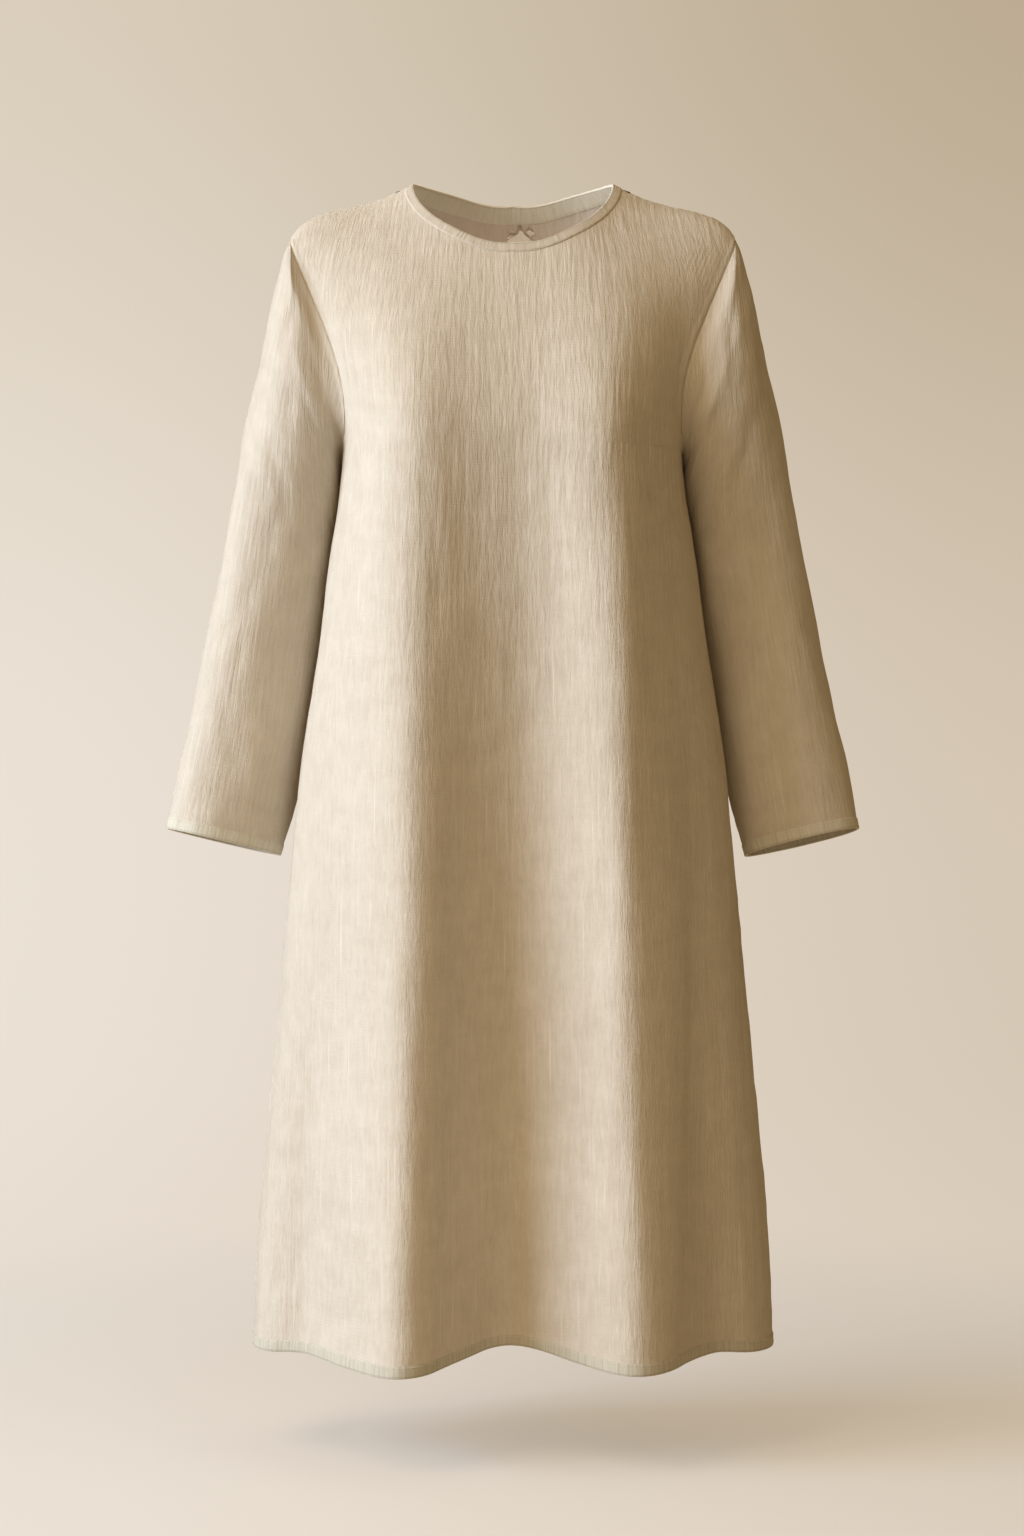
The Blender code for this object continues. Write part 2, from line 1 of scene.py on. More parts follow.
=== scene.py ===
"""The looks of a long-sleeved linen dress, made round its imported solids.

Metres, +Z up. The dress faces -Y and the wearer's left is +X. Every cloth piece is a thin shell on the form
of its solid, with the crinkle, creases, seams and stitches that a solid leaves out.
"""

from collections import namedtuple

import bpy
import numpy as np
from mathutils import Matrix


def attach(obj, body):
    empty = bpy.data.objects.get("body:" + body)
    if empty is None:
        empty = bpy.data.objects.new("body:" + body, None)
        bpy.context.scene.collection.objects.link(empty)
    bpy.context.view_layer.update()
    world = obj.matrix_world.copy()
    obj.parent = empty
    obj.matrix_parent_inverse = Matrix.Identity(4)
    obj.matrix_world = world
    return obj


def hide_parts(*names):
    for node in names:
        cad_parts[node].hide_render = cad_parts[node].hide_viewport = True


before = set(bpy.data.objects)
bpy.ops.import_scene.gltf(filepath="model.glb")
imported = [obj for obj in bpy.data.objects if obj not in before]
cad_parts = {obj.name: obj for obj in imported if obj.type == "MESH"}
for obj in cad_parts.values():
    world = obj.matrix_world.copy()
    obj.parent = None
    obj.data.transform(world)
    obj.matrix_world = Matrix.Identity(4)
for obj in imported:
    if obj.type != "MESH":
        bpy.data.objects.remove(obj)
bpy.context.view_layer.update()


# Front and back. Natural linen, woven plain and washed so that it shrank into fine upright crinkles. Each is
# cut in one from the shoulder seam to the hem. They are sewn together at the shoulders and down the sides.
# The skirt falls in two deep pipes in front and three softer ones behind.

CLOTH = 0.0012  # thickness
GAP = 0.0003  # between two layers
TURN = 2 * np.pi
STEP = 1e-4  # parameter step for directions on a surface
HEM = -1.1225
CHEST = -0.262

# Sections of the body, from the hem up to the chest line.
BodyRow = namedtuple("BodyRow", "height half_width front back squareness")
BODY_ROWS = (
    BodyRow(-1.1225, 0.2520, 0.133, 0.126, 2.10),
    BodyRow(-1.0335, 0.2480, 0.130, 0.124, 2.12),
    BodyRow(-0.9365, 0.2400, 0.127, 0.122, 2.15),
    BodyRow(-0.8395, 0.2310, 0.124, 0.120, 2.20),
    BodyRow(-0.7425, 0.2220, 0.122, 0.118, 2.24),
    BodyRow(-0.6455, 0.2130, 0.119, 0.116, 2.28),
    BodyRow(-0.5485, 0.2030, 0.117, 0.114, 2.32),
    BodyRow(-0.4515, 0.1880, 0.116, 0.110, 2.38),
    BodyRow(-0.3545, 0.1755, 0.116, 0.107, 2.45),
    BodyRow(-0.3000, 0.1670, 0.117, 0.105, 2.50),
    BodyRow(-0.2620, 0.1640, 0.117, 0.104, 2.55),
)

# Pipes, and troughs where the depth is negative. A fold runs down from its start, and its middle moves from
# x_start to x_hem. It reaches to_right and to_left of that, and it lifts or lowers the hem's edge.
Fold = namedtuple("Fold", "side x_start x_hem to_right to_left depth start growth lift")
FOLDS = (
    Fold("front", -0.105, -0.112, 0.052, 0.046, 0.045, -0.117, 0.34, -0.005),
    Fold("front", 0.020, -0.003, 0.047, 0.055, -0.046, -0.172, 1.08, 0.012),
    Fold("front", 0.095, 0.117, 0.048, 0.036, 0.043, -0.106, 0.32, -0.004),
    Fold("front", -0.170, -0.203, 0.030, 0.026, -0.018, -0.450, 1.35, 0.003),
    Fold("front", 0.165, 0.196, 0.026, 0.030, -0.020, -0.560, 1.35, 0.003),
    Fold("back", 0.010, 0.018, 0.050, 0.044, 0.040, -0.230, 0.70, -0.003),
    Fold("back", -0.096, -0.120, 0.050, 0.046, 0.034, -0.240, 0.60, -0.002),
    Fold("back", 0.114, 0.142, 0.040, 0.040, 0.032, -0.300, 0.65, -0.002),
    Fold("back", -0.050, -0.052, 0.028, 0.030, -0.024, -0.400, 1.20, 0.008),
    Fold("back", 0.070, 0.082, 0.030, 0.026, -0.022, -0.400, 1.20, 0.007),
)
LIFT_GROWTH = 7.0  # the power with which a fold's lift comes in towards the hem
START_WIDTH = 1.15  # a fold's width at its start, over its width at the hem
SIDE_FADE = 8  # the power with which folds fade at the sides

# The line over the right shoulder, from its tip (across = 0) to the middle of the dress (0.25).
RidgeRow = namedtuple("RidgeRow", "across x z front_tilt back_tilt")
RIDGE_ROWS = (
    RidgeRow(0.000, -0.2135, -0.0530, 0.00, 0.00),
    RidgeRow(0.022, -0.2100, -0.0455, 0.00, 0.00),
    RidgeRow(0.050, -0.1985, -0.0352, 0.04, 0.02),
    RidgeRow(0.085, -0.1785, -0.0275, 0.14, 0.08),
    RidgeRow(0.125, -0.1400, -0.0185, 0.36, 0.20),
    RidgeRow(0.165, -0.0970, -0.0010, 0.68, 0.28),
    RidgeRow(0.208, -0.0480, 0.0260, 0.80, 0.20),
    RidgeRow(0.250, 0.0000, 0.0360, 0.80, 0.20),
)
NECK_POINT = 0.165  # across, on the shoulder line
RISE = 0.300  # how far the yoke carries on upwards from the chest line
OVER = 0.150  # and how far it comes in over the shoulder
SHOULDER_FILL = 0.021
CHEST_FILL = -0.012
BACK_FILL = 0.026
ARMHOLE = 0.116  # how far it reaches across
NeckCut = namedtuple("NeckCut", "depth power")
NECK_CUTS = {"front": NeckCut(0.424, 1.00), "back": NeckCut(0.318, 1.15)}


def cubic(t, first, leaving, last, arriving):
    """The cubic from first at t = 0 to last at t = 1, with those slopes where it leaves and arrives."""
    return (
        (1 + 2 * t) * (1 - t) ** 2 * first
        + t * (1 - t) ** 2 * leaving
        + t**2 * (3 - 2 * t) * last
        - t**2 * (1 - t) * arriving
    )


def smooth_curve(knots, values, at, level_end=False):
    """Cubics through the values at the knots. The slope at a knot is the harmonic mean of the two beside it,
    and 0 where those differ in sign, so the curve never overshoots; level_end makes the last slope 0."""
    knots = np.asarray(knots, float)
    values = np.asarray(values, float)
    at = np.clip(np.asarray(at, float), knots[0], knots[-1])
    width = np.diff(knots).reshape((-1,) + (1,) * (values.ndim - 1))
    rate = np.diff(values, axis=0) / width
    product = rate[:-1] * rate[1:]
    total = rate[:-1] + rate[1:]
    inner = np.where(product > 0, 2 * product / np.where(total == 0, 1, total), 0)
    last = np.zeros_like(rate[-1:]) if level_end else rate[-1:]
    slope = np.concatenate([rate[:1], inner, last])
    i = np.clip(np.searchsorted(knots, at, side="right") - 1, 0, len(knots) - 2)
    step = knots[i + 1] - knots[i]
    t = (at - knots[i]) / step
    more = (...,) + (None,) * (values.ndim - 1)
    t, step = t[more], step[more]
    return cubic(t, values[i], step * slope[i], values[i + 1], step * slope[i + 1])


def column(rows, name):
    """One column of a table, as an array."""
    return np.array([getattr(row, name) for row in rows])


def unit(vectors):
    """The vectors over their lengths."""
    return vectors / np.linalg.norm(vectors, axis=-1, keepdims=True)


def eased(t):
    """0 below 0, 1 above 1, and 3t^2 - 2t^3 between."""
    t = np.clip(t, 0, 1)
    return t * t * (3 - 2 * t)


def ramp(value, start, end):
    """0 at the start, 1 at the end, and eased between. The end may be the lower of the two."""
    return eased((value - start) / (end - start))


def rounded(angle, squareness):
    """Sine and cosine of the angle, both over (|sine|^n + |cosine|^n)^(1/n): an ellipse at n = 2, and squarer
    above that."""
    sine, cosine = np.sin(angle), np.cos(angle)
    size = (np.abs(sine) ** squareness + np.abs(cosine) ** squareness) ** (1 / squareness)
    return sine / size, cosine / size


def facing(side):
    """Which way along y that side of the dress looks."""
    return -1.0 if side == "front" else 1.0


def skirt(side, across, up):
    """From the hem (up = 0) to the chest line (up = 1): rounded sections from the table. A fold adds depth
    times (how far down it is)^growth times a bell exp(-(distance / reach)^2), faded out at the sides."""
    height = HEM + up * (CHEST - HEM)
    knots = column(BODY_ROWS, "height")
    half_width, deep, squareness = (
        smooth_curve(knots, column(BODY_ROWS, name), height, level_end=True)
        for name in ("half_width", side, "squareness")
    )
    sine, cosine = rounded((across - 0.25) * TURN, squareness)
    x = half_width * sine
    y = facing(side) * deep * cosine
    z = height
    fade = 1 - np.abs(sine) ** SIDE_FADE
    for fold in (fold for fold in FOLDS if fold.side == side):
        below = np.clip((fold.start - height) / (fold.start - HEM), 0, 1)
        away = x - (fold.x_start + (fold.x_hem - fold.x_start) * below)
        reach = np.where(away < 0, fold.to_right, fold.to_left) * (START_WIDTH + (1 - START_WIDTH) * below)
        bell = np.exp(-((away / reach) ** 2)) * fade
        y = y + facing(side) * fold.depth * below**fold.growth * bell
        z = z + fold.lift * below**LIFT_GROWTH * bell
    return np.stack([x, y, z], axis=-1)


def ridge_value(across, name):
    """A column of the ridge's table, which is the right half, mirrored for the left."""
    from_tip = 0.25 - np.abs(across - 0.25)
    return smooth_curve(column(RIDGE_ROWS, "across"), column(RIDGE_ROWS, name), from_tip)


def ridge(across):
    """The line over the shoulders."""
    x = ridge_value(across, "x")
    return np.stack([np.where(across > 0.25, -x, x), np.zeros_like(x), ridge_value(across, "z")], axis=-1)


def yoke(side, across, rise):
    """From the chest line (rise = 0) to the ridge (rise = 1): a cubic in each column, which leaves the chest
    line as the skirt comes up to it and meets the ridge at its tilt. It is filled out half-way by
    16 rise^2 (1 - rise)^2."""
    foot = skirt(side, across, np.ones_like(across))
    top = ridge(across)
    t = rise[..., None]
    below = skirt(side, across, np.full_like(across, 1 - STEP))
    start = RISE * (foot - below) / (STEP * (CHEST - HEM))
    tilt = ridge_value(across, side + "_tilt")
    end = np.stack([np.zeros_like(tilt), np.full_like(tilt, OVER), OVER * tilt], axis=-1) * -facing(side)
    points = cubic(t, foot, start, top, end)
    sideways = np.sin((across - 0.25) * TURN)
    forward = np.cos((across - 0.25) * TURN)
    fill = 16 * rise**2 * (1 - rise) ** 2
    middle_fill = CHEST_FILL if side == "front" else BACK_FILL
    filling = [fill * SHOULDER_FILL * sideways**3, fill * facing(side) * middle_fill * forward, 0 * fill]
    return points + np.stack(filling, axis=-1)


def body(side, across, up):
    """The body's surface: the skirt up to the chest line, and the yoke above it."""
    across, up = np.broadcast_arrays(np.asarray(across, float), np.asarray(up, float))
    low = skirt(side, across, np.minimum(up, 1))
    high = yoke(side, across, np.maximum(up - 1, 0))
    return np.where((up > 1)[..., None], high, low)


def body_directions(side, across, up):
    """The surface's directions across and up, and its outward normal."""
    low, high = np.maximum(up - STEP, 0), np.minimum(up + STEP, 2)
    along = (body(side, across + STEP, up) - body(side, across - STEP, up)) / (2 * STEP)
    upward = (body(side, across, high) - body(side, across, low)) / (high - low)[..., None]
    return along, upward, unit(np.cross(along, upward)) * -facing(side)


def body_frame(side, across, up):
    """The surface's point, its directions and its normal. On the shoulder line the normal is the mean of the
    front's and the back's."""
    along, upward, normal = body_directions(side, across, up)
    other = body_directions("back" if side == "front" else "front", across, up)[2]
    normal = np.where((up >= 2)[..., None], unit(normal + other), normal)
    return body(side, across, up), along, upward, normal


def walk(side, across, up, direction, distance, steps=4):
    """Follows the surface from each point for a distance, in a direction kept flat to it."""
    distance = np.broadcast_to(distance, across.shape)[..., None]
    for _ in range(steps):
        _, along, upward, normal = body_frame(side, across, up)
        direction = unit(direction - (direction * normal).sum(-1, keepdims=True) * normal)
        move = direction * distance / steps
        along_along, up_up, along_up, along_move, up_move = (
            (first * second).sum(-1)
            for first, second in (
                (along, along), (upward, upward), (along, upward), (along, move), (upward, move)
            )
        )
        scale = along_along * up_up - along_up**2
        across = across + (up_up * along_move - along_up * up_move) / scale
        up = up + (along_along * up_move - along_up * along_move) / scale
    return across, up


def armhole(rise_angle):
    """The right armhole, in across and up, from the underarm (0) to the shoulder tip (pi): an oval that
    narrows towards the tip, its reach times sin(angle) times (1 - rise)."""
    rise = (1 - np.cos(rise_angle)) / 2
    return ARMHOLE * np.sin(rise_angle) * (1 - rise), 1 + rise


def neckline(side, angle):
    """The neckline from the right neck point (0) to the left one (pi), in across and up."""
    cut = NECK_CUTS[side]
    across = 0.25 - (0.25 - NECK_POINT) * np.cos(angle)
    return across, 2 - cut.depth * np.sin(angle) ** cut.power


def neck_rows(side, angle, distances):
    """Rows that run beside the neckline: (across, up) on the edge, and at each distance from it."""
    across, up = neckline(side, angle)
    point, _, _, normal = body_frame(side, across, up)
    nearby = body(side, *neckline(side, np.clip(angle + STEP, 0, np.pi)))
    before = body(side, *neckline(side, np.clip(angle - STEP, 0, np.pi)))
    inward = unit(np.cross(normal, nearby - before)) * -facing(side)
    into_cloth = -inward * np.sign((inward * (-point * [1, 1, 0])).sum(-1, keepdims=True))
    rows = [(across, up)]
    for distance in distances:
        rows.append(walk(side, across, up, into_cloth, distance))
    for _, row_up in rows:
        row_up[[0, -1]] = 2.0
    return rows


Waves = namedtuple("Waves", "height wide long")
# The crinkle: thin upright ribs, a few centimetres long, strongest over the chest and the shoulder blades.
RIB_PITCH = 0.0025
RIB_LENGTH = 0.045
RIB_HEIGHT = 0.00036
RIBS = Waves(0.7, RIB_PITCH, RIB_LENGTH)
FINE_RIBS = Waves(0.3, 0.7 * RIB_PITCH, 0.6 * RIB_LENGTH)
RIB_SWAY = Waves(0.0020, 0.030, 0.070)
RIB_PATCHES = Waves(0.45, 0.045, 0.080)
PATCH_MEAN = 0.75
RIB_LOW = 0.62  # how much of the crinkle is left in the skirt
RIBS_GROW = (-0.60, -0.25)  # the heights between which it comes in
NOISE_CELLS = 512  # each way, before the noise repeats


def uneven(waves, u, v, seed):
    """Value noise: seeded heights, to the waves' own height up and down, at the corners of cells as wide and
    long as they are, blended by 3t^2 - 2t^3 both ways."""
    heights = np.random.default_rng(seed).uniform(-1, 1, (NOISE_CELLS, NOISE_CELLS))
    i, s = np.divmod(u / waves.wide, 1)
    j, t = np.divmod(v / waves.long, 1)
    i, j = i.astype(int) % NOISE_CELLS, j.astype(int) % NOISE_CELLS
    s, t = eased(s), eased(t)
    i_next, j_next = (i + 1) % NOISE_CELLS, (j + 1) % NOISE_CELLS
    low = heights[i, j] * (1 - s) + heights[i_next, j] * s
    high = heights[i, j_next] * (1 - s) + heights[i_next, j_next] * s
    return waves.height * (low * (1 - t) + high * t)


def crinkle(u, v, seed):
    """Ribs along v: two sizes of stretched value noise, swaying sideways by a slower one, and stronger in
    some patches than in others."""
    swayed = u + uneven(RIB_SWAY, u, v, seed)
    ribs = uneven(RIBS, swayed, v, seed + 1) + uneven(FINE_RIBS, swayed, v, seed + 2)
    return RIB_HEIGHT * ribs * (PATCH_MEAN + uneven(RIB_PATCHES, u, v, seed + 3))


Crease = namedtuple("Crease", "u v length width lean depth")
BODY_CREASES = {
    "front": (
        # beside the armholes, over the chest and under it
        Crease(-0.150, -0.165, 0.060, 0.0100, 4, 0.0016),
        Crease(-0.178, -0.200, 0.050, 0.0090, 8, -0.0018),
        Crease(-0.118, -0.215, 0.050, 0.0110, 2, -0.0008),
        Crease(0.150, -0.150, 0.055, 0.0130, -8, -0.0020),
        Crease(0.118, -0.190, 0.060, 0.0100, -3, 0.0010),
        Crease(0.176, -0.230, 0.045, 0.0100, -6, 0.0012),
        Crease(-0.088, -0.330, 0.085, 0.0130, 1, -0.0012),
        Crease(-0.045, -0.400, 0.090, 0.0120, -2, 0.0008),
        Crease(0.052, -0.360, 0.080, 0.0120, 2, 0.0008),
        Crease(0.012, -0.470, 0.090, 0.0120, 0, -0.0009),
        Crease(0.108, -0.430, 0.075, 0.0110, -3, -0.0010),
        # the right edges of the pipes, which are fuller there than a plain wave
        Crease(-0.073, -0.900, 0.360, 0.0220, 1, 0.0092),
        Crease(0.120, -0.900, 0.340, 0.0180, 1, 0.0070),
        Crease(-0.060, -0.930, 0.230, 0.0070, 1, 0.0012),
        Crease(0.130, -0.900, 0.210, 0.0060, 2, 0.0012),
        Crease(-0.158, -0.820, 0.180, 0.0085, -2, 0.0013),
        Crease(0.062, -0.760, 0.150, 0.0100, 3, -0.0011),
        # short dents where the skirt was folded
        Crease(-0.210, -0.870, 0.026, 0.0080, 66, -0.0009),
        Crease(-0.225, -0.965, 0.030, 0.0080, 58, -0.0010),
        Crease(-0.205, -1.045, 0.028, 0.0070, 62, -0.0010),
        Crease(-0.196, -1.070, 0.022, 0.0060, 52, 0.0007),
        Crease(-0.120, -0.990, 0.024, 0.0070, 72, -0.0008),
        Crease(-0.108, -1.050, 0.022, 0.0070, 60, -0.0008),
        Crease(-0.060, -0.700, 0.030, 0.0090, 70, -0.0006),
        Crease(0.020, -0.890, 0.034, 0.0100, -74, -0.0007),
        Crease(0.096, -0.950, 0.024, 0.0070, -66, -0.0008),
        Crease(0.104, -1.030, 0.026, 0.0070, -70, -0.0009),
        Crease(0.205, -0.980, 0.030, 0.0080, -62, -0.0009),
        Crease(0.215, -0.820, 0.028, 0.0080, -68, -0.0007),
    ),
    "back": (
        Crease(-0.140, -0.170, 0.060, 0.0110, 6, -0.0016),
        Crease(0.146, -0.155, 0.055, 0.0110, -7, -0.0017),
        Crease(-0.104, -0.205, 0.060, 0.0100, 2, 0.0011),
        Crease(0.110, -0.215, 0.060, 0.0100, -3, 0.0012),
        Crease(0.010, -0.240, 0.075, 0.0140, 1, -0.0010),
        Crease(-0.176, -0.235, 0.045, 0.0090, 7, 0.0014),
        Crease(0.180, -0.225, 0.045, 0.0090, -8, 0.0012),
        Crease(-0.060, -0.400, 0.090, 0.0120, 2, 0.0009),
        Crease(0.046, -0.430, 0.090, 0.0120, -1, -0.0010),
        Crease(0.120, -0.370, 0.075, 0.0110, -4, 0.0009),
        Crease(-0.126, -0.520, 0.090, 0.0110, 2, -0.0010),
        Crease(-0.022, -0.900, 0.200, 0.0065, 1, 0.0017),
        Crease(0.052, -0.940, 0.190, 0.0065, -1, 0.0016),
        Crease(-0.168, -0.880, 0.170, 0.0080, 2, 0.0012),
        Crease(0.176, -0.860, 0.180, 0.0080, -2, 0.0013),
        Crease(-0.215, -0.930, 0.030, 0.0080, 64, -0.0010),
        Crease(-0.208, -1.040, 0.026, 0.0070, 56, -0.0009),
        Crease(-0.090, -0.980, 0.024, 0.0070, 70, -0.0008),
        Crease(0.004, -1.030, 0.026, 0.0070, -68, -0.0008),
        Crease(0.098, -0.890, 0.028, 0.0080, -72, -0.0008),
        Crease(0.150, -1.050, 0.024, 0.0070, -60, -0.0009),
        Crease(0.222, -0.990, 0.028, 0.0080, -64, -0.0009),
        Crease(-0.030, -0.640, 0.032, 0.0090, 74, -0.0006),
    ),
}
SOFTNESS = Waves(0.0013, 0.050, 0.120)  # slow waves of the whole cloth
DIMPLES = Waves(0.00065, 0.018, 0.030)  # quicker ones
RIPPLES = Waves(0.00034, 0.010, 0.060)  # narrow upright ones
WAVES_GROW = (-0.10, -0.30)  # the heights between which all three come in
SEAM_SINK = 0.00025  # how deep the thread draws the seam line in
SEAM_LINE = 0.0014  # how wide that line is
SEAM_RISE = 0.0005  # how far the seam allowance lifts the cloth beside it
ALLOWANCE = 0.0048  # where it lifts the cloth most
ALLOWANCE_WIDTH = 0.0034
PUCKERS = Waves(0.7, 0.0045, 0.030)  # in the lifted cloth, as a share of its rise
DRAWN = Waves(0.0003, 0.0060, 0.040)  # where the thread pulls
DRAWN_NEAR, DRAWN_FAR = 0.002, 0.012
SEAM_LAP = 0.0003  # how far each panel's edge goes past the seam, so no light comes through
CALM = 0.012  # crinkle and waves fade out this near to a seam
HEM_CALM = 0.03  # and the seams this near to the hem
YOKE_SLOPE = 0.6  # how much longer the cloth is where the yoke slopes, as a share of the slope's depth
CLOTH_SEEDS = {"front": 10, "back": 40}


def creases(rows, u, v):
    """The sum of depth times exp(-(sideways / width)^2 - (lengthways / length)^4), in axes turned from
    upright by each row's lean in degrees."""
    total = np.zeros_like(u)
    for row in rows:
        lean = np.radians(row.lean)
        sideways = (u - row.u) * np.cos(lean) - (v - row.v) * np.sin(lean)
        lengthways = (u - row.u) * np.sin(lean) + (v - row.v) * np.cos(lean)
        total = total + row.depth * np.exp(-((sideways / row.width) ** 2) - (lengthways / row.length) ** 4)
    return total


def seam_form(distance, along, seed):
    """The cloth beside a seam, by its distance: sunk on the seam line, risen beside it over the allowance,
    and drawn into small puckers along it. Each is a bell exp(-((distance - place) / width)^2)."""

    def bell(place, width):
        """The bell at that place beside the seam."""
        return np.exp(-(((distance - place) / width) ** 2))

    line = -SEAM_SINK * bell(0, SEAM_LINE)
    beside = SEAM_RISE * bell(ALLOWANCE, ALLOWANCE_WIDTH) * (1 + uneven(PUCKERS, along, distance, seed))
    drawn = uneven(DRAWN, along, distance, seed + 1) * bell(0, DRAWN_FAR)
    return line + beside + drawn * eased(distance / DRAWN_NEAR)


def flat_place(side, across, up, point):
    """Where a point lies on the flat cloth: u from the middle, and v up."""
    height = HEM + np.minimum(up, 1) * (CHEST - HEM)
    knots = column(BODY_ROWS, "height")
    half_width, deep = (
        smooth_curve(knots, column(BODY_ROWS, name), height) for name in ("half_width", side)
    )
    quarter = np.pi / 2 * np.sqrt((half_width**2 + deep**2) / 2)
    rise = np.clip(up - 1, 0, 1)
    u = (across - 0.25) / 0.25 * quarter
    u = u + eased(rise) * (point[..., 0] - u)
    v = point[..., 2] + YOKE_SLOPE * rise * (deep - np.abs(point[..., 1]))
    return u, v, quarter


def cloth(side, across, up):
    """The outer face of the finished cloth: the body's point moved out by creases, crinkle and seams. Gives
    the point, the normal, the direction up, and the flat place."""
    point, _, upward, normal = body_frame(side, across, up)
    u, v, quarter = flat_place(side, across, up, point)
    rise = np.clip(up - 1, 0, 1)
    reach = ARMHOLE * 2 * np.sqrt(rise * (1 - rise)) * (1 - rise)
    to_side = np.maximum(np.minimum(across, 0.5 - across) - reach, 0) / 0.25 * quarter
    to_shoulder = (2 - up) * RISE
    seed = CLOTH_SEEDS[side]
    strength = RIB_LOW + (1 - RIB_LOW) * ramp(v, *RIBS_GROW)
    waves = uneven(SOFTNESS, u, v, seed) + uneven(DIMPLES, u, v, seed + 1) + uneven(RIPPLES, u, v, seed + 9)
    waves = waves * ramp(v, *WAVES_GROW) + creases(BODY_CREASES[side], u, v)
    offset = (crinkle(u, v, seed + 2) * strength + waves) * eased(to_side / CALM) * eased(to_shoulder / CALM)
    seams = seam_form(to_side, v, seed + 6) * eased((point[..., 2] - HEM) / HEM_CALM)
    seams = seams + seam_form(to_shoulder, u, seed + 8)
    return point + (offset + seams)[..., None] * normal, normal, upward, u, v


Grid = namedtuple("Grid", "under_shoulder under_neck skirt_rows yoke_rows")
PANEL_GRIDS = {"front": Grid(90, 216, 58, 44), "back": Grid(90, 190, 58, 44)}
NECK_STRIPS = (0.0045, 0.0090, 0.0135, 0.0180)  # how far from the neckline each row beside it lies


def panel_grid(side):
    """(across, up) of every point of a panel, rows from the hem to the top, and the rows beside the neckline,
    nearest it last. The columns under the neck go on through those, and the rest end on the shoulder seam."""
    grid = PANEL_GRIDS[side]
    neck_angle = np.linspace(0, np.pi, grid.under_neck + 1)
    beside_neck = neck_rows(side, neck_angle, NECK_STRIPS)
    band_across, band_up = beside_neck[-1]
    shoulder = np.linspace(0, 1, grid.under_shoulder + 1)[:-1] * band_across[0]
    top_across = np.concatenate([shoulder, band_across, 0.5 - shoulder[::-1]])
    level = np.ones(grid.under_shoulder)
    top_rise = np.concatenate([level, band_up - 1, level])
    share = np.linspace(0, 1, len(top_across))
    skirt_up = np.linspace(0, 1, grid.skirt_rows + 1)[:-1]
    skirt_across = np.broadcast_to(share / 2, (len(skirt_up), len(share)))
    skirt_up = np.broadcast_to(skirt_up[:, None], skirt_across.shape)
    reach, level = (part[:, None] for part in armhole(np.linspace(0, np.pi, grid.yoke_rows + 1)))
    rise = level - 1
    near_armhole = np.clip(1 - np.abs([share, 1 - share]) / share[grid.under_shoulder], 0, 1)
    towards_middle = (1 - rise) * (1 - 2 * share) + rise * (near_armhole[0] - near_armhole[1])
    yoke_across = (1 - rise) * share / 2 + rise * top_across + towards_middle * reach
    yoke_up = 1 + rise * top_rise
    across = np.concatenate([skirt_across, yoke_across])
    up = np.concatenate([skirt_up, yoke_up])
    return across, up, beside_neck[:-1][::-1], grid.under_shoulder


def grid_quads(rows, columns, around=False):
    """The quads of a grid of points. around joins the last column to the first. Also gives the same quads
    with that seam's far side numbered as one more column, for flat coordinates that go on there."""
    last = columns if around else columns - 1
    i, j = (part.ravel() for part in np.meshgrid(np.arange(rows - 1), np.arange(last), indexing="ij"))
    flat = np.stack([i * (last + 1) + j, i * (last + 1) + j + 1], -1)
    flat = np.concatenate([flat, flat[:, ::-1] + last + 1], -1)
    here = np.stack([i * columns + j, i * columns + (j + 1) % columns], -1)
    return np.concatenate([here, here[:, ::-1] + columns], -1), flat


def new_piece(name, points, quads, corner_uv, materials, slots=None, sharp=50):
    """A mesh object with a UV map in metres, smooth but for edges sharper than that many degrees. slots gives
    each face's material."""
    mesh = bpy.data.meshes.new(name)
    mesh.from_pydata(points.tolist(), [], quads.tolist())
    mesh.uv_layers.new(name="cloth").data.foreach_set("uv", corner_uv.astype(np.float32).ravel())
    for material in materials:
        mesh.materials.append(material)
    if slots is not None:
        mesh.polygons.foreach_set("material_index", slots.astype(np.int32))
    mesh.shade_smooth()
    mesh.set_sharp_from_angle(angle=np.radians(sharp))
    piece = bpy.data.objects.new(name, mesh)
    bpy.context.scene.collection.objects.link(piece)
    return piece


def closed_shell(outer, inner, quads, corner_uv):
    """The points, quads and UV of a closed thin shell: the outer quads, the same ones turned round on the
    inner points, and a quad on each rim edge."""
    count = len(outer)
    ends = np.stack([quads, np.roll(quads, -1, axis=1)], -1).reshape(-1, 2)
    end_uv = np.stack([corner_uv, np.roll(corner_uv, -1, axis=1)], -2).reshape(-1, 2, 2)
    _, index, uses = np.unique(np.sort(ends, axis=1), axis=0, return_inverse=True, return_counts=True)
    on_rim = uses[index.reshape(-1)] == 1
    rim, rim_uv = ends[on_rim], end_uv[on_rim]
    sides = np.stack([rim[:, 1], rim[:, 0], rim[:, 0] + count, rim[:, 1] + count], -1)
    sides_uv = np.stack([rim_uv[:, 1], rim_uv[:, 0], rim_uv[:, 0], rim_uv[:, 1]], 1)
    return (
        np.concatenate([outer, inner]),
        np.concatenate([quads, quads[:, ::-1] + count, sides]),
        np.concatenate([corner_uv, corner_uv[:, ::-1], sides_uv]),
    )


def new_shell(name, outer, inner, quads, corner_uv, materials):
    """A piece that is one closed thin shell. materials are the outer face's, which the rim has too, and the
    inner face's."""
    points, shell_quads, shell_uv = closed_shell(outer, inner, quads, corner_uv)
    slots = np.repeat([0, 1, 0], [len(quads), len(quads), len(shell_quads) - 2 * len(quads)])
    return new_piece(name, points, shell_quads, shell_uv, materials, slots)


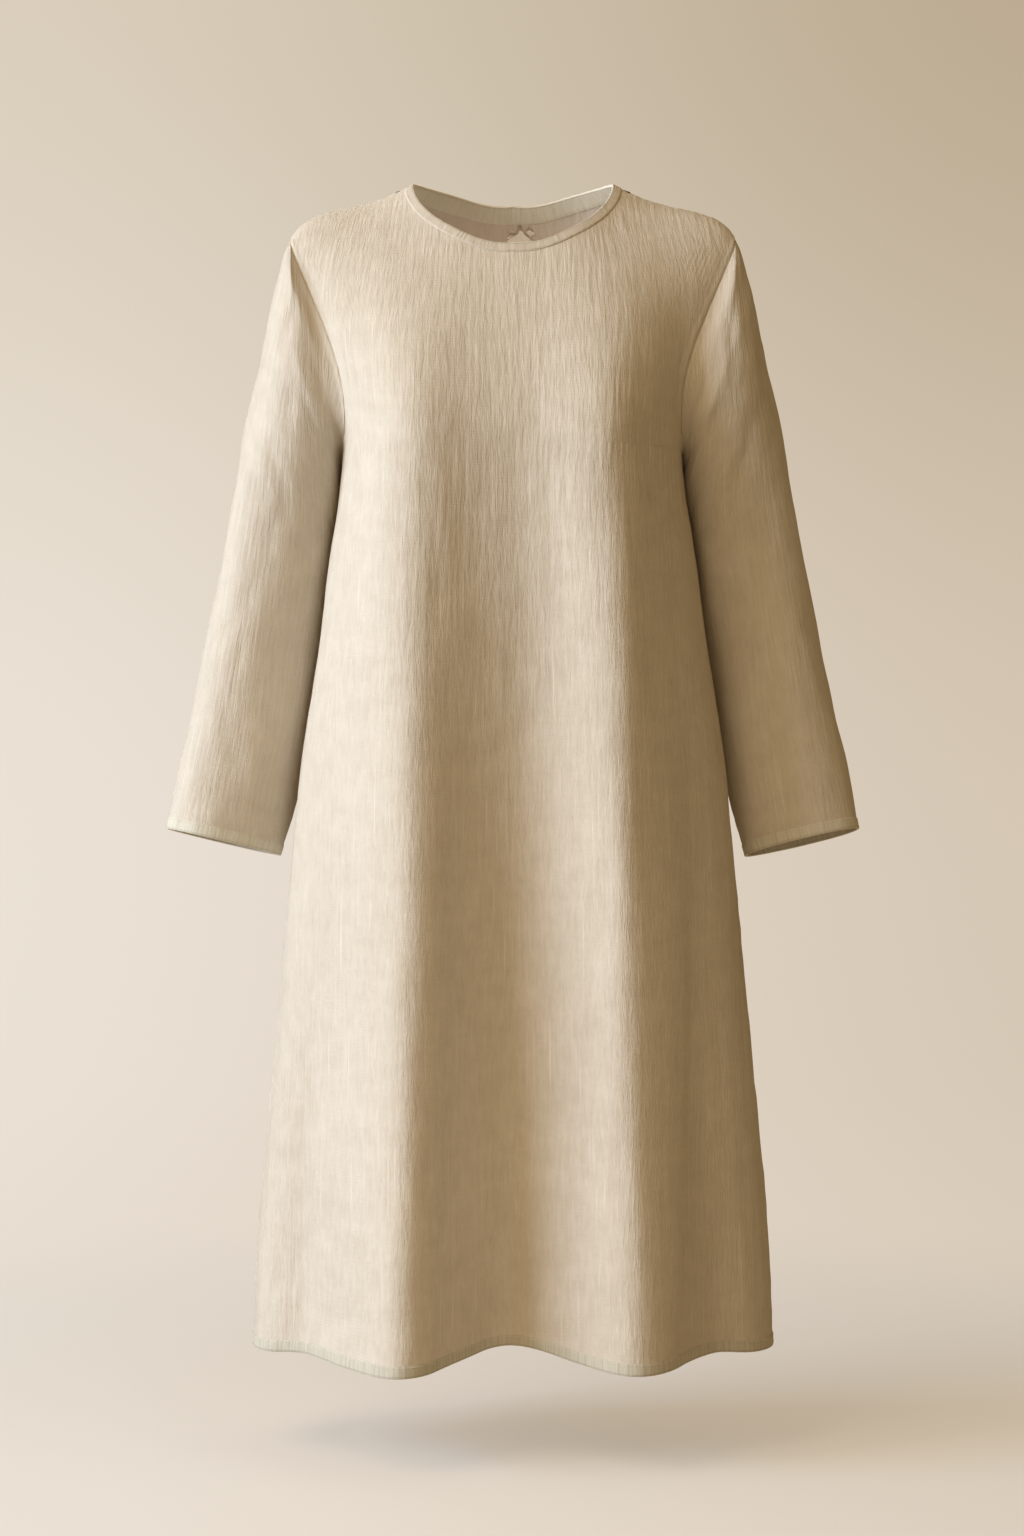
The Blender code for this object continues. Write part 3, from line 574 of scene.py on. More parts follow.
def declare(piece, node, slot, **cut):
    """Puts the sheet under the root body and hides the solid node that it stands for. slot and cut are not
    used.
    """
    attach(piece, "root")
    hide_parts(node)


class Socket:
    """An output socket of a material's nodes. Sums and products of sockets and numbers add Math nodes."""

    def __init__(self, tree, output):
        self.tree = tree
        self.output = output

    def node(self, kind, settings=(), sockets=(), out=0):
        """Adds a node. settings, by name, are set first, then its sockets, by name or number, to a value or
        linked to a Socket. out is the output that it gives."""
        made = self.tree.nodes.new("ShaderNode" + kind)
        for name, value in dict(settings).items():
            setattr(made, name, value)
        for name, value in dict(sockets).items():
            if isinstance(value, Socket):
                self.tree.links.new(value.output, made.inputs[name])
            else:
                made.inputs[name].default_value = value
        return Socket(self.tree, made.outputs[out])

    def maths(self, operation, *values):
        """A Math node on these values."""
        return self.node("Math", {"operation": operation}, dict(enumerate(values)))

    def __add__(self, other):
        return self.maths("ADD", self, other)

    __radd__ = __add__

    def __sub__(self, other):
        return self.maths("SUBTRACT", self, other)

    def __rsub__(self, other):
        return self.maths("SUBTRACT", other, self)

    def __mul__(self, other):
        return self.maths("MULTIPLY", self, other)

    __rmul__ = __mul__

    def stretched(self, u_per_metre, v_per_metre):
        """These coordinates in metres, scaled to so many pattern units a metre each way."""
        scale = (u_per_metre, v_per_metre, 1.0)
        return self.node("VectorMath", {"operation": "MULTIPLY"}, {0: self, 1: scale})

    def noise(self, detail=2.0, roughness=0.5):
        """Noise from 0 to 1 at these coordinates."""
        sockets = {"Vector": self, "Scale": 1.0, "Detail": detail, "Roughness": roughness}
        return self.node("TexNoise", {}, sockets)

    def between(self, low, high):
        """0 where this is below low, 1 above high, and smooth between."""
        settings = {"interpolation_type": "SMOOTHSTEP"}
        return self.node("MapRange", settings, {"Value": self, "From Min": low, "From Max": high})

    def blend(self, first, second):
        """The first colour where this is 0, the second where it is 1."""
        return self.node("Mix", {"data_type": "RGBA"}, {0: self, 6: first, 7: second}, out=2)


# Distances from a band's fold between which its painted highlight ends, and the painted shade line beside it
# comes and goes.
HIGHLIGHT_ENDS = (0.0007, 0.0016)
SHADE_LINE_COMES = (0.0019, 0.0025)
SHADE_LINE_GOES = (0.0028, 0.0036)


def paint(colour, share=1.0):
    """That share of a colour, as a node's socket takes it."""
    return tuple(share * part for part in colour) + (1.0,)


def woven(name, base, lighter, darker, relief, streaks=0.0, sheen=0.35, rim=None):
    """Woven linen read from a piece's UV map in metres: warp along v and weft along u as thin uneven threads,
    slubs a little lighter, soft mottling, and fine crinkle along v, in the bump and as painted shade, darker
    between its ribs. streaks darkens whole warps. rim is the colour of a painted highlight along the fold at
    v = 0, with a thin painted shade line beside it."""
    material = bpy.data.materials.new(name)
    material.use_nodes = True
    tree = material.node_tree
    shader = tree.nodes["Principled BSDF"]
    place = Socket(tree, tree.nodes.new("ShaderNodeUVMap").outputs["UV"])
    warp = place.stretched(1050, 110).noise()
    weft = place.stretched(70, 900).noise()
    ribs = place.stretched(300, 34).noise(detail=4.0, roughness=0.6)
    slubs = place.stretched(700, 9).noise()
    mottle = place.stretched(44, 50).noise(detail=3.0)
    cloud = place.stretched(9, 6).noise()
    # The colour follows the rib noise that also raises the bump: painted shade of the crinkle, darker between
    # its ribs and lighter on them, mixed with the threads' own uneven tone and random mottling.
    light = (0.55 * ribs + 0.30 * warp + 0.15 * weft).between(0.30, 0.72)
    light = 0.55 * light + 0.45 * (0.6 * mottle + 0.4 * cloud).between(0.25, 0.75)
    colour = light.blend(paint(darker), paint(lighter))
    colour = slubs.between(0.60, 0.78).blend(colour, paint(base))
    if streaks:
        bands = place.stretched(330, 4).noise().between(0.44, 0.62)
        colour = (bands * streaks).blend(colour, paint(darker, 0.80))
    if rim:
        # A painted highlight along the fold, and a painted shade line beside it.
        along_strip = place.node("SeparateXYZ", {}, {0: place}, out=1)
        from_fold = along_strip.maths("ABSOLUTE", along_strip)
        shade_line = from_fold.between(*SHADE_LINE_COMES) * (1 - from_fold.between(*SHADE_LINE_GOES))
        colour = (0.45 * shade_line).blend(colour, paint(darker, 0.62))
        colour = (0.60 * (1 - from_fold.between(*HIGHLIGHT_ENDS))).blend(colour, paint(rim))
    tree.links.new(colour.output, shader.inputs["Base Color"])
    height = 0.60 * ribs + 0.22 * warp + 0.18 * weft
    bump = height.node("Bump", {}, {"Strength": 1.0, "Distance": relief, "Height": height})
    tree.links.new(bump.output, shader.inputs["Normal"])
    shader.inputs["Roughness"].default_value = 0.92
    shader.inputs["Specular IOR Level"].default_value = 0.18
    shader.inputs["Sheen Weight"].default_value = sheen
    shader.inputs["Sheen Roughness"].default_value = 0.45
    shader.inputs["Sheen Tint"].default_value = (1.0, 0.93, 0.82, 1.0)
    return material


LINEN_RELIEF = 0.0016
linen = woven("linen", (0.735, 0.684, 0.594), (0.684, 0.630, 0.547), (0.538, 0.481, 0.398), LINEN_RELIEF)
# The inner face: the same linen painted darker and warmer, as painted shade inside the dress.
shaded_linen_inside = woven(
    "shaded linen inside", (0.66, 0.58, 0.51), (0.62, 0.54, 0.47), (0.51, 0.44, 0.37), LINEN_RELIEF, sheen=0.05
)


def new_panel(side):
    """The front or the back: the grid up to the rows beside the neckline, then those rows, all one shell. Its
    edges at the side and shoulder seams go just past the plane that they meet in."""
    across, up, beside_neck, under_shoulder = panel_grid(side)
    rows, columns = across.shape
    quads, _ = grid_quads(rows, columns)
    across, up = across.ravel(), up.ravel()
    previous = (rows - 1) * columns + under_shoulder + np.arange(len(beside_neck[0][0]))
    for row_across, row_up in beside_neck:
        new = len(across) + np.arange(len(row_across))
        across = np.concatenate([across, row_across])
        up = np.concatenate([up, row_up])
        strip = np.stack([previous[:-1], previous[1:], new[1:], new[:-1]], -1)
        quads = np.concatenate([quads, strip])
        previous = new
    outer, normal, _, u, v = cloth(side, across, up)
    inner = outer - CLOTH * normal
    on_seam = (across <= 0) | (across >= 0.5) | (up >= 2)
    for points in (outer, inner):
        points[:, 1] = facing(side) * np.maximum(facing(side) * points[:, 1], 0)
        points[on_seam, 1] = -facing(side) * SEAM_LAP
    if side == "back":
        quads = quads[:, ::-1]
    uv = np.stack([u, v], -1)
    return new_shell(f"{side}_cloth", outer, inner, quads, uv[quads], [linen, shaded_linen_inside])


PANEL_FLAT = (0.640, 1.140)
PANEL_AREA = {"front": 0.636, "back": 0.616}
for side in ("front", "back"):
    cut = {"flat": PANEL_FLAT, "held": "hung", "rests_on": ["sleeve_left", "sleeve_right"]}
    declare(new_panel(side), f"{side}_panel", "linen", **cut, area=PANEL_AREA[side])


# Sleeves. The same linen, cut in one with the seam under the arm, set into the armholes and sewn round. They
# hang straight from the shoulder and are creased a little where an arm would bend.

LEFT, RIGHT = 1, -1
HANDS = ((LEFT, "left"), (RIGHT, "right"))
# Sections of the left sleeve from the armhole to the cuff, each by its outermost and its innermost point.
SleeveRow = namedtuple("SleeveRow", "outer_x outer_y outer_z inner_x inner_y inner_z half_depth")
SLEEVE_ROWS = (
    SleeveRow(0.2285, 0.000, -0.0860, 0.1640, 0.004, -0.2690, 0.0670),
    SleeveRow(0.2395, 0.002, -0.1300, 0.1645, 0.011, -0.2800, 0.0685),
    SleeveRow(0.2490, 0.005, -0.1770, 0.1652, 0.019, -0.2950, 0.0680),
    SleeveRow(0.2590, 0.009, -0.2280, 0.1668, 0.028, -0.3140, 0.0655),
    SleeveRow(0.2690, 0.013, -0.2820, 0.1705, 0.037, -0.3420, 0.0620),
    SleeveRow(0.2830, 0.017, -0.3560, 0.1780, 0.045, -0.3950, 0.0580),
    SleeveRow(0.2975, 0.018, -0.4340, 0.1915, 0.047, -0.4650, 0.0540),
    SleeveRow(0.3120, 0.016, -0.5120, 0.2015, 0.043, -0.5380, 0.0500),
    SleeveRow(0.3270, 0.012, -0.5770, 0.2140, 0.037, -0.6030, 0.0460),
    SleeveRow(0.3365, 0.009, -0.6245, 0.2285, 0.031, -0.6510, 0.0430),
)
SLEEVE_SQUARENESS = 2.15
CUFF_TILT = {LEFT: 0.0055, RIGHT: 0.0030}  # the cuff's back edge hangs lower than its front by twice this
SLEEVE_LENGTH = 0.560
SLEEVE_GRID = (76, 240)  # down and around
HEAD_SHARE = 0.22  # how far down the first third of the rows goes, closer together at the armhole
GIRTH_STEPS = 96
SLEEVE_SEEDS = {LEFT: 70, RIGHT: 100}
SLEEVE_SOFTNESS = Waves(0.0019, 0.035, 0.080)
SLEEVE_DIMPLES = DIMPLES._replace(wide=0.014, long=0.024)
SLEEVE_CRINKLE = 0.75  # of the body's
CREASE_SHARE = {LEFT: 0.85, RIGHT: 1.0}  # the left sleeve's creases are weaker and farther round it
ARMHOLE_CALM = 0.015
# u runs round the arm from its outside towards the front, and v down from the armhole, as a negative number
SLEEVE_CREASES = (
    Crease(0.085, -0.060, 0.050, 0.0100, 20, -0.0016),
    Crease(0.060, -0.110, 0.050, 0.0110, 14, 0.0012),
    Crease(0.100, -0.150, 0.040, 0.0090, 28, -0.0014),
    Crease(0.030, -0.180, 0.055, 0.0120, 6, -0.0012),
    Crease(0.075, -0.230, 0.040, 0.0100, -24, -0.0014),
    Crease(0.050, -0.275, 0.035, 0.0090, 34, 0.0010),
    Crease(0.090, -0.300, 0.035, 0.0090, 52, -0.0012),
    Crease(0.010, -0.330, 0.045, 0.0100, -12, -0.0010),
    Crease(0.064, -0.370, 0.032, 0.0085, 40, -0.0012),
    Crease(0.035, -0.430, 0.045, 0.0090, 10, 0.0009),
    Crease(0.070, -0.460, 0.030, 0.0080, -30, -0.0010),
    Crease(0.020, -0.505, 0.030, 0.0080, 18, -0.0008),
    Crease(-0.040, -0.090, 0.055, 0.0110, -10, -0.0013),
    Crease(-0.090, -0.140, 0.045, 0.0100, -26, -0.0015),
    Crease(-0.060, -0.220, 0.045, 0.0100, 16, 0.0011),
    Crease(-0.095, -0.280, 0.035, 0.0090, -48, -0.0013),
    Crease(-0.045, -0.340, 0.040, 0.0090, 22, -0.0011),
    Crease(-0.075, -0.400, 0.032, 0.0085, -36, -0.0012),
    Crease(-0.030, -0.470, 0.040, 0.0085, -12, 0.0009),
)


def armhole_loop(hand, around):
    """The body's points and normals round an armhole: up its front from the underarm, and down its back."""
    across, up = armhole(np.where(around <= 0.5, around, 1 - around) * TURN)
    if hand == LEFT:
        across = 0.5 - across
    frames = [body_frame(side, across, up) for side in ("front", "back")]
    on_front = (around <= 0.5)[:, None]
    return tuple(np.where(on_front, frames[0][part], frames[1][part]) for part in (0, 3))


def sleeve_rings(hand, around):
    """The armhole's loop and the table's sections, each at the same places round the sleeve."""
    rings = [armhole_loop(hand, around)[0]]
    for row in SLEEVE_ROWS:
        outer = np.array([hand * row.outer_x, row.outer_y, row.outer_z])
        inner = np.array([hand * row.inner_x, row.inner_y, row.inner_z])
        share = (row.outer_z - SLEEVE_ROWS[0].outer_z) / (SLEEVE_ROWS[-1].outer_z - SLEEVE_ROWS[0].outer_z)
        depth = np.array([0.0, row.half_depth, -CUFF_TILT[hand] * share])
        sine, cosine = rounded(around * TURN, SLEEVE_SQUARENESS)
        rings.append((outer + inner) / 2 - cosine[:, None] * (outer - inner) / 2 - sine[:, None] * depth)
    return np.stack(rings)


# The sleeve's head is softened by a mean of three places, each with its share.
HEAD_MEAN = ((-0.9, 0.26), (0.0, 0.48), (0.9, 0.26))
HEAD_SOFTNESS = 0.085  # how far apart they are along the sleeve
SOFTNESS_GOES = (0.12, 0.34)
HEAD_ROUNDING = 0.075  # and how far round it
ROUNDING_COMES = (0.0, 0.10)
ROUNDING_GOES = (0.20, 0.50)


def sleeve(hand, around, down):
    """The sleeve's surface, a grid of down by around: smooth curves from the armhole through every section.
    Below the armhole it is a weighted mean over a little way round the arm and along it, so that no hard edge
    runs down from the shoulder's tip."""
    rings = sleeve_rings(hand, around)
    rounder = 0
    for shift, share in HEAD_MEAN:
        rounder = rounder + share * sleeve_rings(hand, (around + shift * HEAD_ROUNDING) % 1)
    knots = np.linspace(0, 1, len(rings))
    spread = np.minimum(down, HEAD_SOFTNESS) * (1 - ramp(down, *SOFTNESS_GOES))
    near_head = (ramp(down, *ROUNDING_COMES) * (1 - ramp(down, *ROUNDING_GOES)))[:, None, None]
    surface = 0
    for shift, share in HEAD_MEAN:
        at = down + shift * spread
        plain, softer = smooth_curve(knots, rings, at), smooth_curve(knots, rounder, at)
        surface = surface + share * (plain + near_head * (softer - plain))
    return surface


def sleeve_frame(hand, around, down):
    """The sleeve's points, its direction down the arm, and its outward normals."""
    low, high = np.maximum(down - STEP, 0), np.minimum(down + STEP, 1)
    along = sleeve(hand, (around + STEP) % 1, down) - sleeve(hand, (around - STEP) % 1, down)
    downward = (sleeve(hand, around, high) - sleeve(hand, around, low)) / (high - low)[:, None, None]
    normal = unit(np.cross(downward, along)) * hand
    return sleeve(hand, around, down), downward, normal


def sleeve_cloth(hand, around, down):
    """The outer face of the finished sleeve: its surface moved out by creases, crinkle and seams. Gives the
    points, normals, directions down, and flat places. around may go on to 1, where it closes."""
    point, downward, normal = sleeve_frame(hand, around % 1, down)
    turn = np.arange(GIRTH_STEPS + 1) / GIRTH_STEPS % 1
    girth = np.linalg.norm(np.diff(sleeve(hand, turn, down), axis=1), axis=-1).sum(1)
    u = (0.5 - around)[None, :] * girth[:, None]
    v = np.broadcast_to(-SLEEVE_LENGTH * down[:, None], u.shape)
    to_underarm = girth[:, None] / 2 - np.abs(u)
    to_armhole = SLEEVE_LENGTH * down[:, None] + 0 * u
    seed = SLEEVE_SEEDS[hand]
    waves = uneven(SLEEVE_SOFTNESS, u, v, seed) + uneven(SLEEVE_DIMPLES, u, v, seed + 1)
    share = CREASE_SHARE[hand]
    offset = crinkle(u, v, seed + 2) * SLEEVE_CRINKLE + waves + share * creases(SLEEVE_CREASES, u * share, v)
    offset = offset * eased(to_underarm / CALM) * eased(to_armhole / ARMHOLE_CALM)
    seams = seam_form(to_underarm, v, seed + 6) * eased((SLEEVE_LENGTH - to_armhole) / HEM_CALM)
    seams = seams + seam_form(to_armhole, u, seed + 8)
    return point + (offset + seams)[..., None] * normal, normal, downward, u, v


def new_sleeve(hand, word):
    """A sleeve. Its top ring goes just past the armhole's edge: beside it where the sleeve carries on from
    the body, and in front of it under the arm, where the sleeve folds back down over the body."""
    rows, columns = SLEEVE_GRID
    head = 1 - np.cos(np.linspace(0, np.pi / 2, rows // 3 + 1))
    down = np.concatenate([HEAD_SHARE * head[:-1], np.linspace(HEAD_SHARE, 1, rows - rows // 3)])
    around = np.arange(columns + 1) / columns
    outer, normal, _, u, v = sleeve_cloth(hand, around, down)
    outer, normal = outer[:, :-1], normal[:, :-1]
    loop, body_normal = armhole_loop(hand, around[:-1])
    edge = np.roll(loop, -1, axis=0) - np.roll(loop, 1, axis=0)
    off_panel = unit(np.cross(edge, body_normal)) * hand
    turn = (normal[0] * body_normal).sum(-1, keepdims=True)
    beside = (normal[0] * off_panel).sum(-1, keepdims=True)
    clear = np.where(turn >= 0, off_panel, -normal[0])
    thick = np.where((turn >= 0) & (beside > 0), body_normal, normal[0])
    inner = outer - CLOTH * normal
    outer[0] = loop - SEAM_LAP * clear - SEAM_SINK * thick
    inner[0] = outer[0] - CLOTH * thick
    quads, flat = grid_quads(len(down), columns, around=True)
    if hand == LEFT:
        quads, flat = quads[:, ::-1], flat[:, ::-1]
    uv = np.stack([u, v], -1).reshape(-1, 2)
    shell = (outer.reshape(-1, 3), inner.reshape(-1, 3), quads, uv[flat])
    return new_shell(f"sleeve_{word}_cloth", *shell, [linen, shaded_linen_inside])


PANELS = ["front_cloth", "back_cloth"]
SLEEVE_CUT = {"flat": (0.360, 0.600), "held": "hung", "rests_on": PANELS, "area": 0.178}
for hand, word in HANDS:
    declare(new_sleeve(hand, word), f"sleeve_{word}", "linen", **SLEEVE_CUT)


# Neck binding. A bias strip of greyed linen folded over the raw edge, 9 mm wide outside and 18 mm inside, where
# its grey-green side shows behind the neck. It is sewn down with one row of stitches.

BINDING = 0.0006  # thickness
NECK_OUTER_LEG = 0.0090
NECK_INNER_LEG = 0.0180
FOLD_STEPS = 7
PRESSED = (0.85, 0.30)  # how thick the last two rows of each leg are, over the rest
BINDING_PUCKER = Waves(0.00012, 0.0028, 1.0)
BINDING_SEED = 5

BAND_RELIEF = 0.0006
# The colour of the painted highlight along each band's fold.
FOLD_HIGHLIGHT = (0.88, 0.84, 0.76)
sage = woven(
    "sage linen",
    (0.66, 0.635, 0.545),
    (0.625, 0.60, 0.51),
    (0.50, 0.475, 0.395),
    BAND_RELIEF,
    streaks=0.55,
    rim=FOLD_HIGHLIGHT,
)
neck_linen = woven(
    "neck linen", (0.70, 0.650, 0.560), (0.650, 0.598, 0.515), (0.545, 0.490, 0.408), LINEN_RELIEF, rim=FOLD_HIGHLIGHT
)
# The band's grey-green inside: the hem's strip painted paler, as painted light inside the neck.
lit_neck_sage = woven(
    "lit neck sage",
    (0.71, 0.665, 0.56),
    (0.67, 0.625, 0.52),
    (0.56, 0.515, 0.42),
    0.0009,
    streaks=0.22,
    sheen=0.05,
    rim=FOLD_HIGHLIGHT,
)
# The cuffs' strip: the sage painted paler, as painted light on the cuffs.
lit_cuff_sage = woven(
    "lit cuff linen",
    (0.73, 0.705, 0.61),
    (0.70, 0.675, 0.58),
    (0.59, 0.56, 0.47),
    BAND_RELIEF,
    streaks=0.5,
    rim=FOLD_HIGHLIGHT,
)
thread = woven("thread", (0.72, 0.68, 0.59), (0.68, 0.64, 0.55), (0.54, 0.50, 0.41), 0.0001)


def ring_of(front_part, back_part):
    """The front's places from right to left, then the back's from left to right, without the shared ends."""
    return np.concatenate([front_part, back_part[1:-1][::-1]])


def new_binding(name, away, outside, inside, materials):
    """A folded strip round an edge, closed in a ring. outside and inside are rows of (points, normals) from
    the edge to the end of each leg, and away points off the edge. Its section runs up the outside leg's face,
    over a half-round fold, down the inside leg, and back a strip's thickness nearer the cloth. materials are
    the outside leg's and the inside one's, and v is 0 at the fold."""
    edge_point, edge_normal = outside[0]
    middle = edge_point - CLOTH / 2 * edge_normal
    length = np.linalg.norm(np.roll(edge_point, -1, axis=0) - edge_point, axis=1)
    along = np.concatenate([[0], np.cumsum(length)])
    pucker = uneven(BINDING_PUCKER, along[:-1], 0 * length, BINDING_SEED)[:, None]

    def leg(rows, lift, sign):
        """A leg's rows lifted off the cloth, and puckered on the strip's outer face."""
        thin = np.ones(len(rows))
        thin[-2:] = PRESSED
        return [
            point + sign * (lift * thin[i] + (pucker if i and lift > GAP else 0)) * normal
            for i, (point, normal) in enumerate(rows)
        ]

    def fold(lift):
        """The half circle round the edge, this far off the cloth."""
        angles = np.linspace(np.pi / 2, -np.pi / 2, FOLD_STEPS + 2)[1:-1]
        reach = CLOTH / 2 + lift
        return [
            middle + reach * np.sin(angle) * edge_normal + lift * np.cos(angle) * away for angle in angles
        ]

    within = [(point - CLOTH * normal, normal) for point, normal in inside]
    far = leg(outside, GAP + BINDING, 1)[::-1] + fold(GAP + BINDING) + leg(within, GAP + BINDING, -1)
    near = leg(outside, GAP, 1)[::-1] + fold(GAP) + leg(within, GAP, -1)
    section = np.stack(far + near[::-1] + far[:1])
    gaps = np.linalg.norm(np.diff(section, axis=0), axis=-1).mean(1)
    depth = np.concatenate([[0], np.cumsum(gaps)])
    fold_middle = len(outside) + FOLD_STEPS // 2
    depth = depth - depth[fold_middle]
    rows, columns = len(section), len(edge_point)
    row = np.arange(rows - 1)
    on_inside = (row >= fold_middle) & (row < rows - 2 - fold_middle)
    quads, flat = grid_quads(rows, columns, around=True)
    uv = np.stack(np.meshgrid(along, depth), -1).reshape(-1, 2)
    quads = quads % ((rows - 1) * columns)
    along_end = np.roll(section[0], -1, axis=0) - section[0]
    if (np.cross(along_end, section[1] - section[0]) * outside[-1][1]).sum() < 0:  # the faces look inwards
        quads, flat = quads[:, [0, 3, 2, 1]], flat[:, [0, 3, 2, 1]]
    slots = np.repeat(on_inside.astype(int), columns)
    return new_piece(name, section[:-1].reshape(-1, 3), quads, uv[flat], materials, slots, sharp=70)


STITCH = 0.0025  # length
STITCH_SPACING = 0.0036
THREAD_RADIUS = 0.00026
SIDES = 6
CAPSULE = ((0.0, 0.40), (0.12, 0.85), (0.50, 1.0), (0.88, 0.85), (1.0, 0.40))  # how far along, and how thick


def tubes(paths, out, thickness):
    """Closed tubes along paths, an array of tube by place along it: at each place a ring of six points whose
    radius is the thread's times the thickness there. Gives points, quads and a place on the cloth's UV."""
    along = np.gradient(paths, axis=1)
    aside = unit(np.cross(along, out[:, None]))
    above = unit(np.cross(aside, along))
    angle = (np.arange(SIDES) / SIDES * TURN)[:, None]
    ring = aside[:, :, None] * np.cos(angle) + above[:, :, None] * np.sin(angle)
    points = paths[:, :, None] + THREAD_RADIUS * thickness[:, None, None] * ring
    count, places = paths.shape[:2]
    wall, _ = grid_quads(places, SIDES, around=True)
    start = np.array([[0, 1, 2, 3], [0, 3, 4, 5]])
    end = start[:, ::-1] + (places - 1) * SIDES
    quads = np.concatenate([wall[:, ::-1], start, end])
    quads = (quads + (np.arange(count) * places * SIDES)[:, None, None]).reshape(-1, 4)
    points = points.reshape(-1, 3)
    return points, quads, points[:, [0, 2]]


def new_stitches(name, points, normals, lift):
    """A row of stitches round a closed line of points: even steps along it, and on each a capsule half sunk
    in the strip."""
    points = points + lift * normals
    closed, closed_normals = (np.concatenate([part, part[:1]]) for part in (points, normals))
    distance = np.concatenate([[0], np.cumsum(np.linalg.norm(np.diff(closed, axis=0), axis=1))])
    count = int(distance[-1] / STITCH_SPACING)
    at = np.arange(count) * distance[-1] / count

    def on_line(values, where):
        """Values at distances along the closed line."""
        return np.stack([np.interp(where, distance, values[:, axis]) for axis in range(3)], -1)

    start, end = on_line(closed, at), on_line(closed, at + STITCH)
    place, thickness = np.array(CAPSULE).T
    paths = start[:, None] + place[:, None] * (end - start)[:, None]
    points, quads, uv = tubes(paths, unit(on_line(closed_normals, at)), thickness)
    piece = new_piece(name, points, quads, uv[quads], [thread], sharp=80)
    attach(piece, "root")
    return piece


# Distances from the edge of the rows of each leg.
neck_inside = np.array([0.0015, 0.0045, 0.0085, 0.0130, 0.0170, NECK_INNER_LEG])
neck_outside = np.array([0.0015, 0.0040, 0.0070, 0.0082, NECK_OUTER_LEG])
NECK_STITCH_ROW = 3
neck_legs, neck_away = {}, {}
for side in ("front", "back"):
    angle = np.linspace(0, np.pi, PANEL_GRIDS[side].under_neck + 1)
    for leg_name, distances in (("outside", neck_outside), ("inside", neck_inside)):
        rows = [cloth(side, *row) for row in neck_rows(side, angle, distances)]
        neck_legs[side, leg_name] = [(row[0], row[1]) for row in rows]
    edge, nearby = neck_legs[side, "outside"][0][0], neck_legs[side, "outside"][2][0]
    neck_away[side] = unit(edge - nearby)
neck_outside_rows, neck_inside_rows = (
    [
        (ring_of(front[0], back[0]), ring_of(front[1], back[1]))
        for front, back in zip(neck_legs["front", leg_name], neck_legs["back", leg_name])
    ]
    for leg_name in ("outside", "inside")
)
neck_off = ring_of(neck_away["front"], neck_away["back"])
neck_materials = [neck_linen, lit_neck_sage]
neck_binding = new_binding("neck_band", neck_off, neck_outside_rows, neck_inside_rows, neck_materials)
neck_stitches = new_stitches("neck_stitches", *neck_outside_rows[NECK_STITCH_ROW], GAP + BINDING)
neck_cut = {"flat": (0.030, 0.600), "held": "folded", "rests_on": PANELS}
declare(neck_binding, "neck_binding", "sage_linen", **neck_cut, with_pieces=[neck_stitches])


# Hem binding. A grey-green strip of the same weave, folded over the hem, 10.5 mm wide on both faces. It
# stiffens the edge, so the hem keeps the clean waves of the folds.

HEM_LEG = 0.0105
hem_distances = np.array([0.0, 0.0015, 0.0040, 0.0065, 0.0086, HEM_LEG])
BAND_STITCH_ROW = 4
hem_rows, hem_away = [], None
for distance in hem_distances:
    parts = []
    for side in ("front", "back"):
        across = np.linspace(0, 0.5, 2 * PANEL_GRIDS[side].under_neck + 1)
        parts.append(cloth(side, across, np.full_like(across, distance / (CHEST - HEM))))
    hem_rows.append((ring_of(parts[0][0], parts[1][0]), ring_of(parts[0][1], parts[1][1])))
    if hem_away is None:
        hem_away = -unit(ring_of(parts[0][2], parts[1][2]))
hem_binding = new_binding("hem_band", hem_away, hem_rows, hem_rows, [sage, sage])
hem_stitches = new_stitches("hem_stitches", *hem_rows[BAND_STITCH_ROW], GAP + BINDING)
hem_cut = {"flat": (0.025, 1.450), "held": "folded", "rests_on": PANELS}
declare(hem_binding, "hem_binding", "sage_linen", **hem_cut, with_pieces=[hem_stitches])


# Cuff bindings. The same strip again, folded over the end of each sleeve and 11 mm wide on both faces, and
# painted a little paler as painted light on the cuffs. One row of stitches holds it.

CUFF_LEG = 0.0110
cuff_distances = np.array([0.0, 0.0015, 0.0042, 0.0070, 0.0091, CUFF_LEG])
for hand, word in HANDS:
    around = np.arange(SLEEVE_GRID[1]) / SLEEVE_GRID[1]
    cuff_length = np.linalg.norm(sleeve_frame(hand, around, np.array([1.0]))[1][0], axis=-1).mean()
    points, normals, downward, _, _ = sleeve_cloth(hand, around, 1 - cuff_distances / cuff_length)
    cuff_rows = list(zip(points, normals))
    piece = new_binding(f"cuff_band_{word}", unit(downward[0]), cuff_rows, cuff_rows, [lit_cuff_sage, lit_cuff_sage])
    stitches = new_stitches(f"cuff_stitches_{word}", *cuff_rows[BAND_STITCH_ROW], GAP + BINDING)
    cut = {"flat": (0.026, 0.309), "held": "folded", "rests_on": [f"sleeve_{word}_cloth"]}
    declare(piece, f"cuff_binding_{word}", "sage_linen", **cut, with_pieces=[stitches])


# Label stub. What is left of a pale woven label inside the back neck: a crumpled peak with its tip off the
# cloth, two frayed bits of its top edge, and loose threads. All blank.

